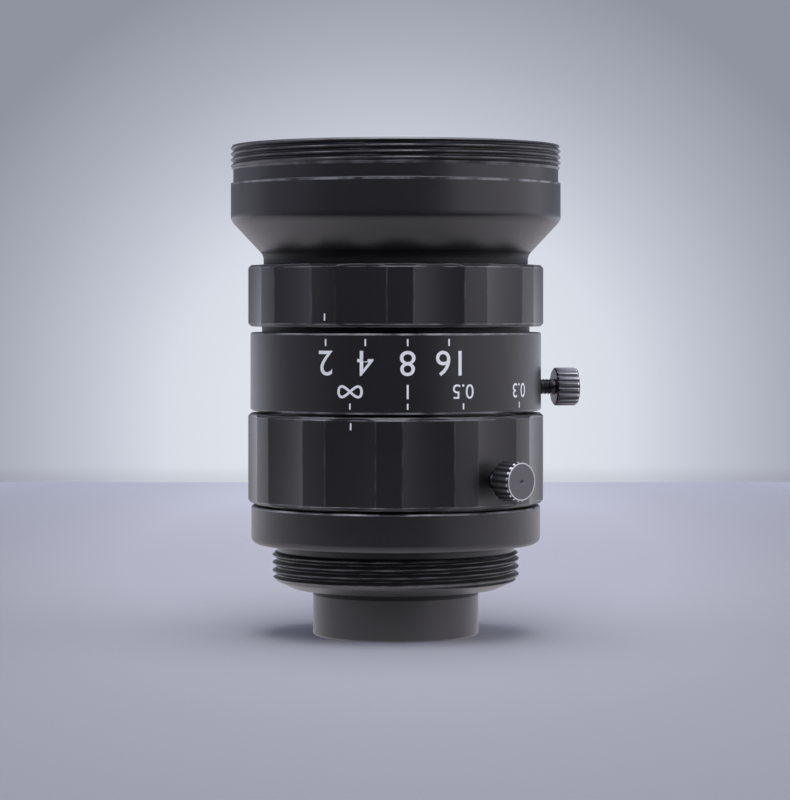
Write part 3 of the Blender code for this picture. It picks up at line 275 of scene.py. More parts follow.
glow = new_material("glowing_wall")
where = own_place(glow)
across = vector_math(glow, "DOT_PRODUCT", where, tuple(TO_RIGHT))
up = add(glow, "SeparateXYZ", Vector=where).outputs["Z"]
height = number_math(glow, "SUBTRACT", up, GLOW_LEVEL)
height = number_math(glow, "MULTIPLY", height, GLOW_FLATTER)
flat = add(glow, "CombineXYZ", X=across, Y=height).outputs[0]
far = number_math(glow, "MULTIPLY", vector_math(glow, "LENGTH", flat), 1 / GLOW_REACH)
bright = [(0.0, "#e2e5ed"), (0.34, "#dde2ea"), (0.46, "#d7dbe5")]
dim = [(0.60, "#c3c7d4"), (0.78, "#abaebb"), (1.0, "#9094a0")]
colour = ramp(glow, far, bright + dim)
foot = remapped(glow, up, 0.0, 0.003, 0.86, course="SMOOTHSTEP")
colour = vector_math(glow, "SCALE", colour, Scale=foot)
seen = add(glow, "Emission", Color=colour)
lit = add(glow, "BsdfDiffuse", Color=linear("#b8bcc8"))
path = add(glow, "LightPath")
direct = number_math(glow, "MAXIMUM", path.outputs["Is Camera Ray"], path.outputs["Is Glossy Ray"])
direct = number_math(glow, "MAXIMUM", direct, path.outputs["Is Transmission Ray"])
surfaced(glow, "MixShader", Fac=direct, i1=lit.outputs[0], i2=seen.outputs[0])
wall.data.materials.append(glow)
print("stage: floor to", FLOOR_BACK, "m behind the lens")

# %% [markdown]
# ## Light
# Satin black shows the lamps more than its own colour. A cylinder seen from the front shows what
# stands beside it on its middle, and what stands behind it at its edges. So a wide bright panel
# stands at the right and a dimmer one at the left. The wall makes the light rims, with the help of
# two low panels behind the lens. A lamp overhead that is long in the camera's direction lights the
# floor and makes the wide, shallow shadow. A wide pale sheet overhead draws the tops of the edges.
# Only shiny surfaces see that sheet and the low panels, so they leave the floor as it is.


# %% Lamps
OVERHEAD = 0.4


def soft_box(name, at, width, height, radiance, code="#ffffff", lights_floor=True):
    """A rectangular lamp that faces the lens; a flat lamp's power is pi * area * radiance."""
    data = bpy.data.lights.new(name, "AREA")
    data.shape = "RECTANGLE"
    data.size = width
    data.size_y = height
    data.energy = math.pi * width * height * radiance
    data.color = linear(code)[:3]
    lamp = linked(name, data)
    start = place(*at)
    aim = np.array([0.0, 0.0, at[2] if at[2] < OVERHEAD else 0.0]) - start
    lamp.location = start
    lamp.rotation_mode = "QUATERNION"
    lamp.rotation_quaternion = Vector(aim).to_track_quat("-Z", "Y")
    lamp.visible_camera = False
    lamp.visible_diffuse = lights_floor


soft_box("left_panel", (-0.42, 0.0, 0.21), 0.62, 0.40, 0.45, "#eae8ff")
soft_box("right_panel", (0.42, 0.05, 0.21), 0.84, 0.40, 1.22, "#f9f5ff")
soft_box("left_rim", (-0.165, -0.2, 0.016), 0.21, 0.044, 1.05, "#eef1ff", lights_floor=False)
soft_box("right_rim", (0.165, -0.2, 0.016), 0.21, 0.044, 1.15, "#eef1ff", lights_floor=False)
soft_box("top_lamp", (0.0, 0.06, 0.62), 0.28, 0.9, 3.85)
soft_box("top_sheet", (0.0, 0.1, 0.60), 1.5, 1.5, 2.4, "#eceeff", lights_floor=False)

world = bpy.data.worlds.new("studio_air")
bpy.context.scene.world = world
world.use_nodes = True
world.node_tree.nodes.clear()
shiny = add(world, "LightPath").outputs["Is Glossy Ray"]
colour = mixed(world, shiny, linear("#b4b8c4"), linear("#26272c"))
air = add(world, "Background", Color=colour)
add(world, "OutputWorld", Surface=air.outputs[0])

# %% [markdown]
# ## Black anodised aluminium
# The barrels and rings are aluminium, turned on a lathe, blasted very finely and dyed black in the
# oxide layer. The eye gets a deep blue-black with a broad satin sheen, because oxide is clear and
# shines like glass over the dye. Lathe marks run round the axis, so the pattern is read from the
# radius and the height only. They are 0.05 mm apart on the real one, finer than a pixel, so they
# are drawn at 0.12 mm. A second, finer grain stands for the blasting. Broken edges, flute edges and
# thread crests turn pale in small patches, partly worn, where the dye is rubbed off, and partly a
# painted highlight. The neck, the gaps between the rings and the top of the rear barrel get painted
# shade: a nearly black finish that hardly shines, so they stay blacker than the rest.


# %% Anodised aluminium
LATHE_MARKS_PER_MM = 8.0
LATHE_MARK_DEPTH = 0.00002
GRAIN_DEPTH = 0.00001
NOISE_RANGE = (0.3, 0.7)
PATCHES = (0.40, 0.64, 0.05)
# The pale colour of worn edges, which also serves as painted highlight.
BARE_METAL_AND_GLINT = "#8a898d"


def lathe_field(material, where):
    """A vector (radius, height, 0) in millimetres, so that a pattern on it runs round the Z axis."""
    radius = vector_math(material, "LENGTH", vector_math(material, "MULTIPLY", where, (1.0, 1.0, 0.0)))
    level = add(material, "SeparateXYZ", Vector=where).outputs["Z"]
    turned = add(material, "CombineXYZ", X=radius, Y=level).outputs[0]
    return vector_math(material, "SCALE", turned, Scale=1 / MM)


def anodised(name, dye, roughness, lathe_depth, ior=1.62):
    """Dyed oxide on turned aluminium: a dark base under a clear, softly shining layer.

    Where the piece's wear_and_glint attribute is 1, the metal shows through in patches: partly
    worn, where handling has thinned the dye, and partly a painted highlight on the edges.
    """
    material = new_material(name)
    where = own_place(material)
    lines = add(
        material,
        "TexNoise",
        {"noise_dimensions": "2D"},
        Vector=lathe_field(material, where),
        Scale=LATHE_MARKS_PER_MM,
        Detail=2.0,
        Roughness=0.6,
    ).outputs["Fac"]
    grain = noise(material, where, 9000.0, 1.0)
    tone = remapped(material, noise(material, where, 160.0, 3.0), *NOISE_RANGE, 0.86, 1.14)
    colour = vector_math(material, "SCALE", linear(dye)[:3], Scale=tone)
    wear_and_glint = add(material, "Attribute", {"attribute_name": "wear_and_glint"}).outputs["Fac"]
    patches = remapped(material, noise(material, where, 420.0, 3.0), *PATCHES)
    wear_and_glint = number_math(material, "MULTIPLY", wear_and_glint, patches)
    sheen = remapped(material, grain, *NOISE_RANGE, roughness - 0.03, roughness + 0.04)
    marks = add(material, "Bump", Strength=lathe_depth, Distance=LATHE_MARK_DEPTH, Height=lines)
    pits = {"Strength": 0.05, "Distance": GRAIN_DEPTH, "Height": grain, "Normal": marks.outputs[0]}
    return surfaced(
        material,
        "BsdfPrincipled",
        Base_Color=mixed(material, wear_and_glint, colour, linear(BARE_METAL_AND_GLINT)),
        Roughness=sheen,
        IOR=ior,
        Normal=add(material, "Bump", **pits).outputs[0],
    )


BLACK_OXIDE = anodised("black_anodised_aluminium", "#131115", 0.37, 0.1)
MATT_OXIDE = anodised("matt_black_anodised_aluminium", "#0b0b0c", 0.62, 0.15)
# Painted shade: a nearly black, barely shining finish for places where shade falls.
PAINTED_SHADE_BLACK = anodised("painted_shade_black", "#060607", 0.5, 0.05, ior=1.36)
print("anodised:", BLACK_OXIDE.name, MATT_OXIDE.name)

# %% [markdown]
# ## Steel, nylon, glass and paint
# The lock screws are steel, blackened in hot salts, so metal shines through dark grey. The pins are
# ground bright steel. The screw tips are natural nylon, the glass has an antireflection layer, and
# the scales are filled with white enamel that has a faint grain.


# %% Other materials
def grainy(material, grain_mm, strength):
    """A fine grain, and the bump that it makes."""
    grain = noise(material, own_place(material), 1 / MM / grain_mm, 2.0)
    bump = add(material, "Bump", Strength=strength, Distance=GRAIN_DEPTH, Height=grain)
    return grain, bump.outputs[0]


def ground_metal(name, code, roughness, grain_mm, strength, worn_and_glint=None):
    """A metal with a fine grain, paler where wear_and_glint is 1: partly worn, partly painted highlight."""
    material = new_material(name)
    grain, bump = grainy(material, grain_mm, strength)
    colour = linear(code)
    if worn_and_glint:
        wear_and_glint = add(material, "Attribute", {"attribute_name": "wear_and_glint"}).outputs["Fac"]
        colour = mixed(material, wear_and_glint, colour, linear(worn_and_glint))
    return surfaced(
        material,
        "BsdfPrincipled",
        Base_Color=colour,
        Metallic=1.0,
        Roughness=remapped(material, grain, *NOISE_RANGE, roughness * 0.85, roughness * 1.2),
        Normal=bump,
    )


def plain_finish(name, code, roughness, grain_mm, strength):
    """A paint or plastic with a faint grain."""
    material = new_material(name)
    grain, bump = grainy(material, grain_mm, strength)
    tone = remapped(material, grain, *NOISE_RANGE, 0.92, 1.05)
    return surfaced(
        material,
        "BsdfPrincipled",
        Base_Color=vector_math(material, "SCALE", linear(code)[:3], Scale=tone),
        Roughness=roughness,
        Normal=bump,
    )


def lens_glass(name, ior, coat_nm):
    """Polished optical glass; a thin layer of magnesium fluoride on it tints what it reflects."""
    material = new_material(name)
    haze = noise(material, own_place(material), 300.0, 2.0)
    return surfaced(
        material,
        "BsdfPrincipled",
        Base_Color=linear("#f2f7f5"),
        Roughness=remapped(material, haze, 0.4, 0.8, 0.0, 0.012),
        IOR=ior,
        Transmission_Weight=1.0,
        Thin_Film_Thickness=coat_nm,
        Thin_Film_IOR=1.38,
    )


# The screws' paler rims, ridge ends and faces are partly worn steel and partly painted highlight.
BLACK_STEEL = ground_metal("blackened_steel", "#48484d", 0.38, 0.06, 0.2, worn_and_glint="#d0d0d2")
BRIGHT_STEEL = ground_metal("ground_steel_pin", "#c0c0c2", 0.22, 0.05, 0.15)
BLADE_STEEL = ground_metal("blackened_spring_steel", "#1c1c1f", 0.45, 0.05, 0.15)
NYLON = plain_finish("natural_nylon", "#e6e2d2", 0.45, 0.2, 0.1)
ENAMEL = plain_finish("white_enamel_fill", "#f2f2f4", 0.55, 0.15, 0.15)
CROWN_GLASS = lens_glass("coated_crown_glass", 1.52, 110.0)
FLINT_GLASS = lens_glass("coated_flint_glass", 1.67, 130.0)
print("materials:", len(bpy.data.materials))

# %% [markdown]
# ## A surface from a grid
# Each new piece is a function of two parameters, worked out on a grid with numpy. The rows follow
# the profile and the columns go round the axis. A ring's last row joins its first one. A solid
# piece starts and ends on the axis, where each row shrinks to one point.


# %% Grid surfaces
def mended(mesh, merge=0.0, triangles=False, outward=True):
    """The mesh with its near points merged, in triangles and with its faces outwards, as asked."""
    work = bmesh.new()
    work.from_mesh(mesh)
    if merge:
        bmesh.ops.remove_doubles(work, verts=work.verts, dist=merge)
    if triangles:
        bmesh.ops.triangulate(work, faces=work.faces)
    if outward:
        bmesh.ops.recalc_face_normals(work, faces=work.faces)
    work.to_mesh(mesh)
    work.free()
    return mesh


def grid_faces(rows, columns, closed=True):
    """Quads of a grid numbered row by row; the last column joins the first, and if closed the last row."""
    row, column = np.meshgrid(np.arange(rows if closed else rows - 1), np.arange(columns), indexing="ij")
    after = (row + 1) % rows
    beside = (column + 1) % columns
    corners = [row * columns + column, after * columns + column]
    corners += [after * columns + beside, row * columns + beside]
    return np.stack(corners, axis=-1).reshape(-1, 4)


def grid_mesh(name, points, solid=False):
    """A closed mesh from points[row, column] = (x, y, z, wear_and_glint), in millimetres."""
    rows, columns = points.shape[:2]
    faces = grid_faces(rows, columns, closed=not solid)
    mesh = bpy.data.meshes.new(name)
    mesh.vertices.add(rows * columns)
    mesh.vertices.foreach_set("co", (points[..., :3] * MM).ravel())
    mesh.attributes.new("wear_and_glint", "FLOAT", "POINT").data.foreach_set("value", points[..., 3].ravel())
    mesh.loops.add(faces.size)
    mesh.loops.foreach_set("vertex_index", faces.ravel())
    mesh.polygons.add(len(faces))
    mesh.polygons.foreach_set("loop_start", 4 * np.arange(len(faces)))
    mesh.update(calc_edges=True)
    return mended(mesh, merge=1e-7, outward=False) if solid else mesh


def finish_piece(mesh, body, material, nodes=(), smooth_angle=30.0):
    """A piece with its mesh's name: smooth shading with sharp edges by angle, then body, slot and nodes."""
    mesh.validate()
    mesh.shade_smooth()
    mesh.set_sharp_from_angle(angle=math.radians(smooth_angle))
    if not mesh.materials:
        mesh.materials.append(material)
    obj = linked(mesh.name, mesh)
    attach(obj, body)
    if nodes:
        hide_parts(*nodes)
    print(obj.name + ":", len(mesh.polygons), "faces")


def dulled(mesh, low, high, radius):
    """Black oxide for the mesh, and painted shade where a face lies between two levels under a radius."""
    middle = np.empty(3 * len(mesh.polygons), dtype=np.float32)
    mesh.polygons.foreach_get("center", middle)
    x, y, z = middle.reshape(-1, 3).T / MM
    inside = (z > low) & (z < high) & (np.hypot(x, y) < radius)
    mesh.materials.append(BLACK_OXIDE)
    mesh.materials.append(PAINTED_SHADE_BLACK)
    mesh.polygons.foreach_set("material_index", inside.astype(np.int32))


print("a closed grid of 3 x 4 points has", len(grid_faces(3, 4)), "faces")

# %% [markdown]
# ## Profiles
# A profile is a list of corners (r, z) in millimetres. Each corner is broken by a small arc, as a
# file or a tumbler leaves it, and that arc carries the pale edge mark, partly worn and partly a
# painted highlight. Then the profile is carried round.

# %% Profiles
BREAK = 0.05
SIDE_SHARE = 0.48
LONG_SIDE = 0.3
WEAR_FADE = 0.05
COLUMNS = 288


def rounded(corners, steps=4):
    """A closed outline (r, z, wear_and_glint) with each corner (r, z, radius) turned into a circular arc.

    A corner (r, z) has the radius BREAK, and one with the radius 0 stays sharp.
    A small corner that points outwards is paler, partly worn and partly a painted highlight: its arc
    has wear_and_glint 1, and a point on each long side has 0. No arc takes more than 0.48 of a side,
    so that two arcs on a short side don't meet.
    The arc starts and ends radius * tan(half the turn) from the corner. Its points are
    (start * (1 - t)^2 + w * corner * 2t(1 - t) + end * t^2) over the sum of the same weights,
    with w = cos(half the turn), which is exactly a circle.
    """
    places = np.array([c[:2] for c in corners], dtype=float)
    out = []
    for i, corner in enumerate(corners):
        radius = corner[2] if len(corner) > 2 else BREAK
        here = places[i]
        back = places[i - 1] - here
        ahead = places[(i + 1) % len(places)] - here
        if radius <= 0.0:
            out.append(np.array([[*here, 0.0]]))
            continue
        back_length = np.linalg.norm(back)
        ahead_length = np.linalg.norm(ahead)
        cosine = np.dot(back, ahead) / (back_length * ahead_length)
        half_turn = (math.pi - math.acos(np.clip(cosine, -1.0, 1.0))) / 2
        reach = min(radius * math.tan(half_turn), SIDE_SHARE * back_length, SIDE_SHARE * ahead_length)
        start = here + back / back_length * reach
        end = here + ahead / ahead_length * reach
        t = np.linspace(0.0, 1.0, steps + 1)[:, None]
        pull = math.cos(half_turn) * 2 * t * (1 - t)
        weight = (1 - t) ** 2 + pull + t**2
        arc = (start * (1 - t) ** 2 + here * pull + end * t**2) / weight
        outwards = back[0] * ahead[1] - back[1] * ahead[0] > 0 and radius <= BREAK
        rows = [[*point, float(outwards)] for point in arc]
        if back_length > LONG_SIDE:
            rows.insert(0, [*(start + back / back_length * WEAR_FADE), 0.0])
        if ahead_length > LONG_SIDE:
            rows.append([*(end + ahead / ahead_length * WEAR_FADE), 0.0])
        out.append(np.array(rows))
    return np.concatenate(out)


def refined(outline, low, high, longest):
    """The closed outline with its segments between two levels cut into pieces of a longest length."""
    out = []
    for here, ahead in zip(outline, np.roll(outline, -1, axis=0)):
        middle = (here + ahead) / 2
        pieces = 1
        if low <= middle[1] <= high:
            pieces = max(1, math.ceil(np.linalg.norm((ahead - here)[:2]) / longest))
        t = np.arange(pieces)[:, None] / pieces
        out.append(here * (1 - t) + ahead * t)
    return np.concatenate(out)


def carried_round(outline, around, radius_at=None):
    """points[row, column] = (R sin a, -R cos a, z, wear_and_glint); R is the outline's r or radius_at's."""
    r, z, wear_and_glint = (np.repeat(outline[:, i : i + 1], len(around), axis=1) for i in range(3))
    a = np.repeat(around[None], len(outline), axis=0)
    if radius_at is not None:
        r, wear_and_glint = radius_at(r, z, a, wear_and_glint)
    return np.stack([r * np.sin(a), -r * np.cos(a), z, wear_and_glint], axis=-1)


def evenly(count):
    """Evenly spaced azimuths in radians, counted from -Y towards +X."""
    return 2 * math.pi * np.arange(count) / count


print("edges are broken by", BREAK, "mm, and a full turn has", COLUMNS, "columns")

# %% [markdown]
# ## Holes and slots
# The pins and lock screws go through holes and slots. Each is cut with a tool that is a block
# swept round the axis, or a round bar that points outwards. A Boolean does that exactly, and its
# result is kept as the piece's own mesh.


# %% Cutting tools
def block_through(rings):
    """A closed tool through rings[row, point] = (x, y, z), in millimetres, with a flat face at each end."""
    rows, points = rings.shape[:2]
    ends = [list(range(start, start + points)) for start in (0, (rows - 1) * points)]
    mesh = bpy.data.meshes.new("tool")
    faces = grid_faces(rows, points, closed=False).tolist() + ends
    mesh.from_pydata((rings.reshape(-1, 3) * MM).tolist(), [], faces)
    return mended(mesh)


def swept_tool(inner, outer, low, high, start, end, rise=0.0, steps=24):
    """A block between two radii and two levels, swept between two azimuths while it rises.

    section(t) turns to azimuth start + t (end - start) and is lifted by rise * t, for t from 0 to 1.
    """
    t = np.linspace(0.0, 1.0, steps + 1)[:, None]
    a = np.radians(start + t * (end - start))
    r = np.array([[inner, outer, outer, inner]])
    z = np.array([[low, low, high, high]]) + rise * t
    return block_through(np.stack([r * np.sin(a), -r * np.cos(a), z], axis=-1))


def aimed(local, azimuth, level):
    """Local (across, up, out) turned so that out points away from the axis at an azimuth."""
    a = math.radians(azimuth)
    across = (math.cos(a), math.sin(a), 0.0)
    up = (0.0, 0.0, 1.0)
    out = (math.sin(a), -math.cos(a), 0.0)
    return local @ np.array([across, up, out]) + (0.0, 0.0, level)


def bar_tool(radius, inner, outer, azimuth, level, sides=48):
    """A round bar between two distances from the axis, pointing outwards at an azimuth and level."""
    turn = evenly(sides)
    x = radius * np.cos(turn)
    y = radius * np.sin(turn)
    rings = [np.column_stack([x, y, np.full(sides, length)]) for length in (inner, outer)]
    return block_through(aimed(np.array(rings), azimuth, level))


def final_mesh(obj):
    """A new mesh that is the object as it looks with its modifiers."""
    depsgraph = bpy.context.evaluated_depsgraph_get()
    return bpy.data.meshes.new_from_object(obj.evaluated_get(depsgraph))


def cut(mesh, tools):
    """The mesh with each tool taken away from it."""
    body = linked("being_cut", mesh)
    helpers = []
    for tool in tools:
        helper = linked("tool", tool)
        step = body.modifiers.new("cut", "BOOLEAN")
        step.operation = "DIFFERENCE"
        step.solver = "EXACT"
        step.object = helper
        helpers.append(helper)
    result = final_mesh(body)
    name = mesh.name
    for obj in [body, *helpers]:
        bpy.data.objects.remove(obj)
    bpy.data.meshes.remove(mesh)
    result.name = name
    return result


FOLLOWER_AZIMUTH = 215.0
FOLLOWER_Z = 19.0
FOLLOWER_PLAY = 0.8
FOCUS_TRAVEL = 0.7
FOCUS_TURN = 240.0
TAPPED_RADIUS = 1.0
FOCUS_LOCK = (69.0, 16.46)
IRIS_LOCK = (127.0, 25.4)
print("follower pin at azimuth", FOLLOWER_AZIMUTH)

# %% [markdown]
# ## Threads
# A thread is a V groove along a helix. On a grid its radius is the crest less the depth of the V,
# and the V's phase runs with the height and slips back by one pitch each turn.


# %% Thread
# Thread crests are paler: partly worn, partly a painted highlight.
CREST_WEAR_AND_GLINT = 0.35
THREAD_FLAT = 0.14


def zigzag(turns):
    """A V over each turn, from 1 down to 0 and up again: |2 frac(turns) - 1|."""
    return np.abs(2 * (turns - np.floor(turns)) - 1)


def threaded(crest, depth, pitch, low, high, run_out):
    """radius_at for a right-handed thread between two levels on surfaces near the crest's radius.

    phase = z / pitch - a / (2 pi); v = |2 frac(phase) - 1|, cut off at both ends to leave the flats
    of a real thread; R = r - depth * v * fade, where fade falls to 0 over run_out at each level.
    """

    def radius_at(r, z, a, wear_and_glint):
        v = zigzag(z / pitch - a / (2 * math.pi))
        v = np.clip((v - THREAD_FLAT) / (1 - 2 * THREAD_FLAT), 0.0, 1.0)
        fade = np.clip((z - low) / run_out, 0.0, 1.0) * np.clip((high - z) / run_out, 0.0, 1.0)
        near = np.abs(r - crest) < depth
        wear_and_glint = np.where(near & (fade > 0), np.clip(1 - 4 * v, 0.0, 1.0) * CREST_WEAR_AND_GLINT, wear_and_glint)
        return np.where(near, np.minimum(r, crest - depth * v * fade), r), wear_and_glint

    return radius_at


MOUNT_PITCH = 25.4 / 32
MOUNT_CREST = 12.7
MOUNT_DEPTH = 0.48
print("mount thread pitch:", round(MOUNT_PITCH, 4), "mm")

# %% [markdown]
# ## Mount body
# The camera end: a thread of 25.4 mm with 32 turns to the inch, the flange face that rests on the
# camera, a shoulder with a rounded lower edge, and the tube that goes up inside the focus ring.
# It is one profile carried round, and a thread where the profile stands at the crest's radius.

# %% Mount body
TUBE_INNER = 12.11
TUBE_OUTER = 13.31
PAST_WALL = 0.15
outline = rounded([
    (13.31, 22.5), (13.31, 17.46, 0), (12.71, 17.46), (12.71, 15.46), (13.31, 15.46, 0),
    (13.31, 13.3), (14.75, 13.3), (14.89, 13.16), (14.89, 9.4, 0.7), (13.0, 9.4),
    (13.0, 9.6, 0), (12.2, 9.6, 0.1), (12.2, 8.62, 0.15), (12.7, 8.38), (12.7, 6.0),
    (12.3, 5.6), (10.7, 4.85), (8.83, 4.85), (8.83, 6.6, 0), (10.9, 6.6, 0), (10.9, 10.0, 0),
    (12.11, 10.0, 0), (12.11, 22.5),
])
outline = refined(outline, 5.55, 8.7, MOUNT_PITCH / 14)
thread = threaded(MOUNT_CREST, MOUNT_DEPTH, MOUNT_PITCH, 5.3, 8.75, 0.5)
mesh = grid_mesh("mount_shell", carried_round(outline, evenly(COLUMNS), thread))
follower_half = math.degrees(FOLLOWER_PLAY / TUBE_OUTER)
slot = swept_tool(
    TUBE_INNER - PAST_WALL,
    TUBE_OUTER + PAST_WALL,
    FOLLOWER_Z - FOLLOWER_PLAY,
    FOLLOWER_Z + FOCUS_TRAVEL + FOLLOWER_PLAY,
    FOLLOWER_AZIMUTH - follower_half,
    FOLLOWER_AZIMUTH + follower_half,
    steps=4,
)
finish_piece(cut(mesh, [slot]), "mount", BLACK_OXIDE, ["mount_body"])

# %% [markdown]
# ## Rear barrel and rear cell
# The thin barrel behind the thread keeps fingers off the rear glass. Its upper end, where it meets
# the mount, gets painted shade, a nearly black finish. Inside it stands the nose of the rear cell.

# %% Rear barrel and rear cell
outline = rounded([
    (10.6, 8.1), (10.6, 6.9), (8.53, 6.9, 0), (8.53, 4.15, 0), (8.53, 0.16, 0.06),
    (8.37, 0.0, 0.06), (7.78, 0.0), (7.7, 0.08), (7.7, 8.1),
])
mesh = grid_mesh("rear_barrel_shell", carried_round(outline, evenly(COLUMNS)))
# Painted shade on the barrel's top, under the mount's lip.
dulled(mesh, 4.16, 6.88, 8.6)
finish_piece(mesh, "mount", BLACK_OXIDE, ["rear_barrel"])

outline = rounded([
    (9.91, 30.75), (9.91, 10.7), (7.4, 10.7, 0), (7.4, 1.08), (7.22, 0.9), (6.48, 0.9),
    (6.4, 0.98), (6.4, 6.2, 0), (5.2, 6.2), (5.2, 6.9), (7.11, 12.0), (8.41, 12.0, 0),
    (8.41, 30.75),
])
mesh = grid_mesh("rear_cell_shell", carried_round(outline, evenly(144)))
finish_piece(mesh, "head", MATT_OXIDE, ["rear_cell"])

# %% [markdown]
# ## Fluted rings
# The iris ring and the focus ring are turned, and then a cutter with a large radius takes twelve
# shallow flutes off each, with a plain land between them. Seen along the axis a flute is an arc of
# a circle that bulges inwards, so it has a formula of its own, and the ring is the smaller of the
# two radii. A soft minimum breaks the edge between them, as tumbling does. The columns crowd
# together at those edges, where the light line is.

# %% Flutes
RING_RADIUS = 15.21
FLUTE_FLOOR = 14.76
FLUTE_CURVE = 16.03
FLUTE_STEP = 30.0
FLUTE_HALF = 10.0
# Flute edges are paler: partly worn, partly a painted highlight that draws their light lines.
FLUTE_WEAR_AND_GLINT = 0.18
WEAR_WIDTH = 0.3
END_BREAK = 0.1
SOFTNESS = 0.035
RIM_INNER = 14.45


def fluted(low, high, centre):
    """radius_at for twelve flutes between two levels, one of them centred at an azimuth.

    With p the azimuth from the nearest flute's middle and c = floor + curve, the flute is
    c cos p - sqrt(curve^2 - c^2 sin^2 p). It sinks by 0.1 mm at both ends to break their edges.
    The soft minimum of a and b is b + (a - b) h - k h (1 - h), with h = (b - a) / 2k + 1/2 held
    between 0 and 1.
    """

    def radius_at(r, z, a, wear_and_glint):
        p = np.radians((np.degrees(a) - centre + FLUTE_STEP / 2) % FLUTE_STEP - FLUTE_STEP / 2)
        c = FLUTE_FLOOR + FLUTE_CURVE
        flute = c * np.cos(p) - np.sqrt(FLUTE_CURVE**2 - (c * np.sin(p)) ** 2)
        flute = flute - np.clip(END_BREAK - np.minimum(z - low, high - z), 0.0, END_BREAK)
        h = np.clip(0.5 + 0.5 * (flute - r) / SOFTNESS, 0.0, 1.0)
        blend = flute * (1 - h) + r * h - SOFTNESS * h * (1 - h)
        outside = r > RIM_INNER
        edge = FLUTE_WEAR_AND_GLINT * np.exp(-(((np.abs(np.degrees(p)) - FLUTE_HALF) / WEAR_WIDTH) ** 2))
        wear_and_glint = np.where(outside & (r > RING_RADIUS - 0.01), np.maximum(wear_and_glint, edge), wear_and_glint)
        return np.where(outside, blend, r), wear_and_glint

    return radius_at


def fluted_azimuths(centre):
    """Columns over one flute and land, in degrees from the flute's middle, for all twelve."""
    edge = np.array([-0.8, -0.5, -0.32, -0.2, -0.1, 0.0, 0.1, 0.2, 0.32, 0.5, 0.8])
    plain = np.array([-15.0, -13.5, -12.0, -8.0, -6.0, -4.0, -2.0, 0.0, 2.0, 4.0, 6.0, 8.0, 12.0, 13.5])
    period = np.sort(np.concatenate([plain, edge - FLUTE_HALF, edge + FLUTE_HALF]))
    around = centre + period[None] + FLUTE_STEP * np.arange(12)[:, None]
    return np.radians(around.ravel())


print("flute depth:", round(RING_RADIUS - FLUTE_FLOOR, 2), "mm")

# %% [markdown]
# ## Focus ring
# The tall ring. Inside it a helical groove takes the follower pin, so that turning the ring lifts
# the lens by 0.7 mm over 240 degrees. In one flute is the tapped hole of its lock screw.

# %% Focus ring
outline = rounded([
    (14.91, 22.8), (15.21, 22.5), (15.21, 13.9), (14.91, 13.6), (13.61, 13.6), (13.61, 21.6),
    (14.21, 21.6, 0), (14.21, 22.8),
])
outline = refined(refined(outline, 22.3, 22.9, 0.05), 13.5, 14.1, 0.05)
around = fluted_azimuths(FOCUS_LOCK[0])
shape = fluted(13.6, 22.8, FOCUS_LOCK[0])
mesh = grid_mesh("focus_ring_fluted", carried_round(outline, around, shape))
lead = FOCUS_TRAVEL / FOCUS_TURN
drop = lead * follower_half
tools = [
    bar_tool(TAPPED_RADIUS, 12.71, 15.5, *FOCUS_LOCK),
    swept_tool(
        13.31,
        14.31,
        FOLLOWER_Z - FOLLOWER_PLAY - drop,
        FOLLOWER_Z + FOLLOWER_PLAY - drop,
        FOLLOWER_AZIMUTH + follower_half,
        FOLLOWER_AZIMUTH - FOCUS_TURN - follower_half,
        FOCUS_TRAVEL + 2 * drop,
        steps=96,
    ),
]
mesh = cut(mesh, tools)
finish_piece(mesh, "focus_ring", BLACK_OXIDE, ["focus_ring"])

# %% [markdown]
# ## Iris ring
# The low ring, with the same flutes. Its skirt goes down inside the band, where the iris lock
# screw presses on it, and a hole inside takes the pin that turns the iris. What shows of the skirt
# in the gap above the band gets painted shade, a nearly black finish.

# %% Iris ring
IRIS_LAND = 28.2
DRIVE_PIN_AZIMUTH = 200.0
DRIVE_PIN_Z = 35.0
PIN_RADIUS = 0.8
IRIS_TURN = 48.0
outline = rounded([
    (14.91, 38.0), (15.21, 37.7), (15.21, 32.0), (14.91, 31.7), (13.8, 31.7, 0), (13.8, 26.4),
    (13.2, 26.4, 0), (13.2, 24.5), (12.5, 24.5), (12.5, 38.0),
])
outline = refined(refined(outline, 37.5, 38.1, 0.05), 31.6, 32.2, 0.05)
around = fluted_azimuths(IRIS_LAND - 15.0)
shape = fluted(31.7, 38.0, IRIS_LAND - 15.0)
mesh = grid_mesh("iris_ring_fluted", carried_round(outline, around, shape))
hole = bar_tool(PIN_RADIUS, 12.2, 13.7, DRIVE_PIN_AZIMUTH, DRIVE_PIN_Z, sides=24)
mesh = cut(mesh, [hole])
# Painted shade on the skirt, in the gap above the band.
dulled(mesh, 24.0, 31.74, 14.7)
finish_piece(mesh, "iris_ring", BLACK_OXIDE, ["iris_ring"])

# %% [markdown]
# ## Main barrel
# The plain band between the rings carries the scales. It is turned in one piece with the core, that
# goes up inside the iris ring, and the sleeve, that goes down inside the mount's tube.

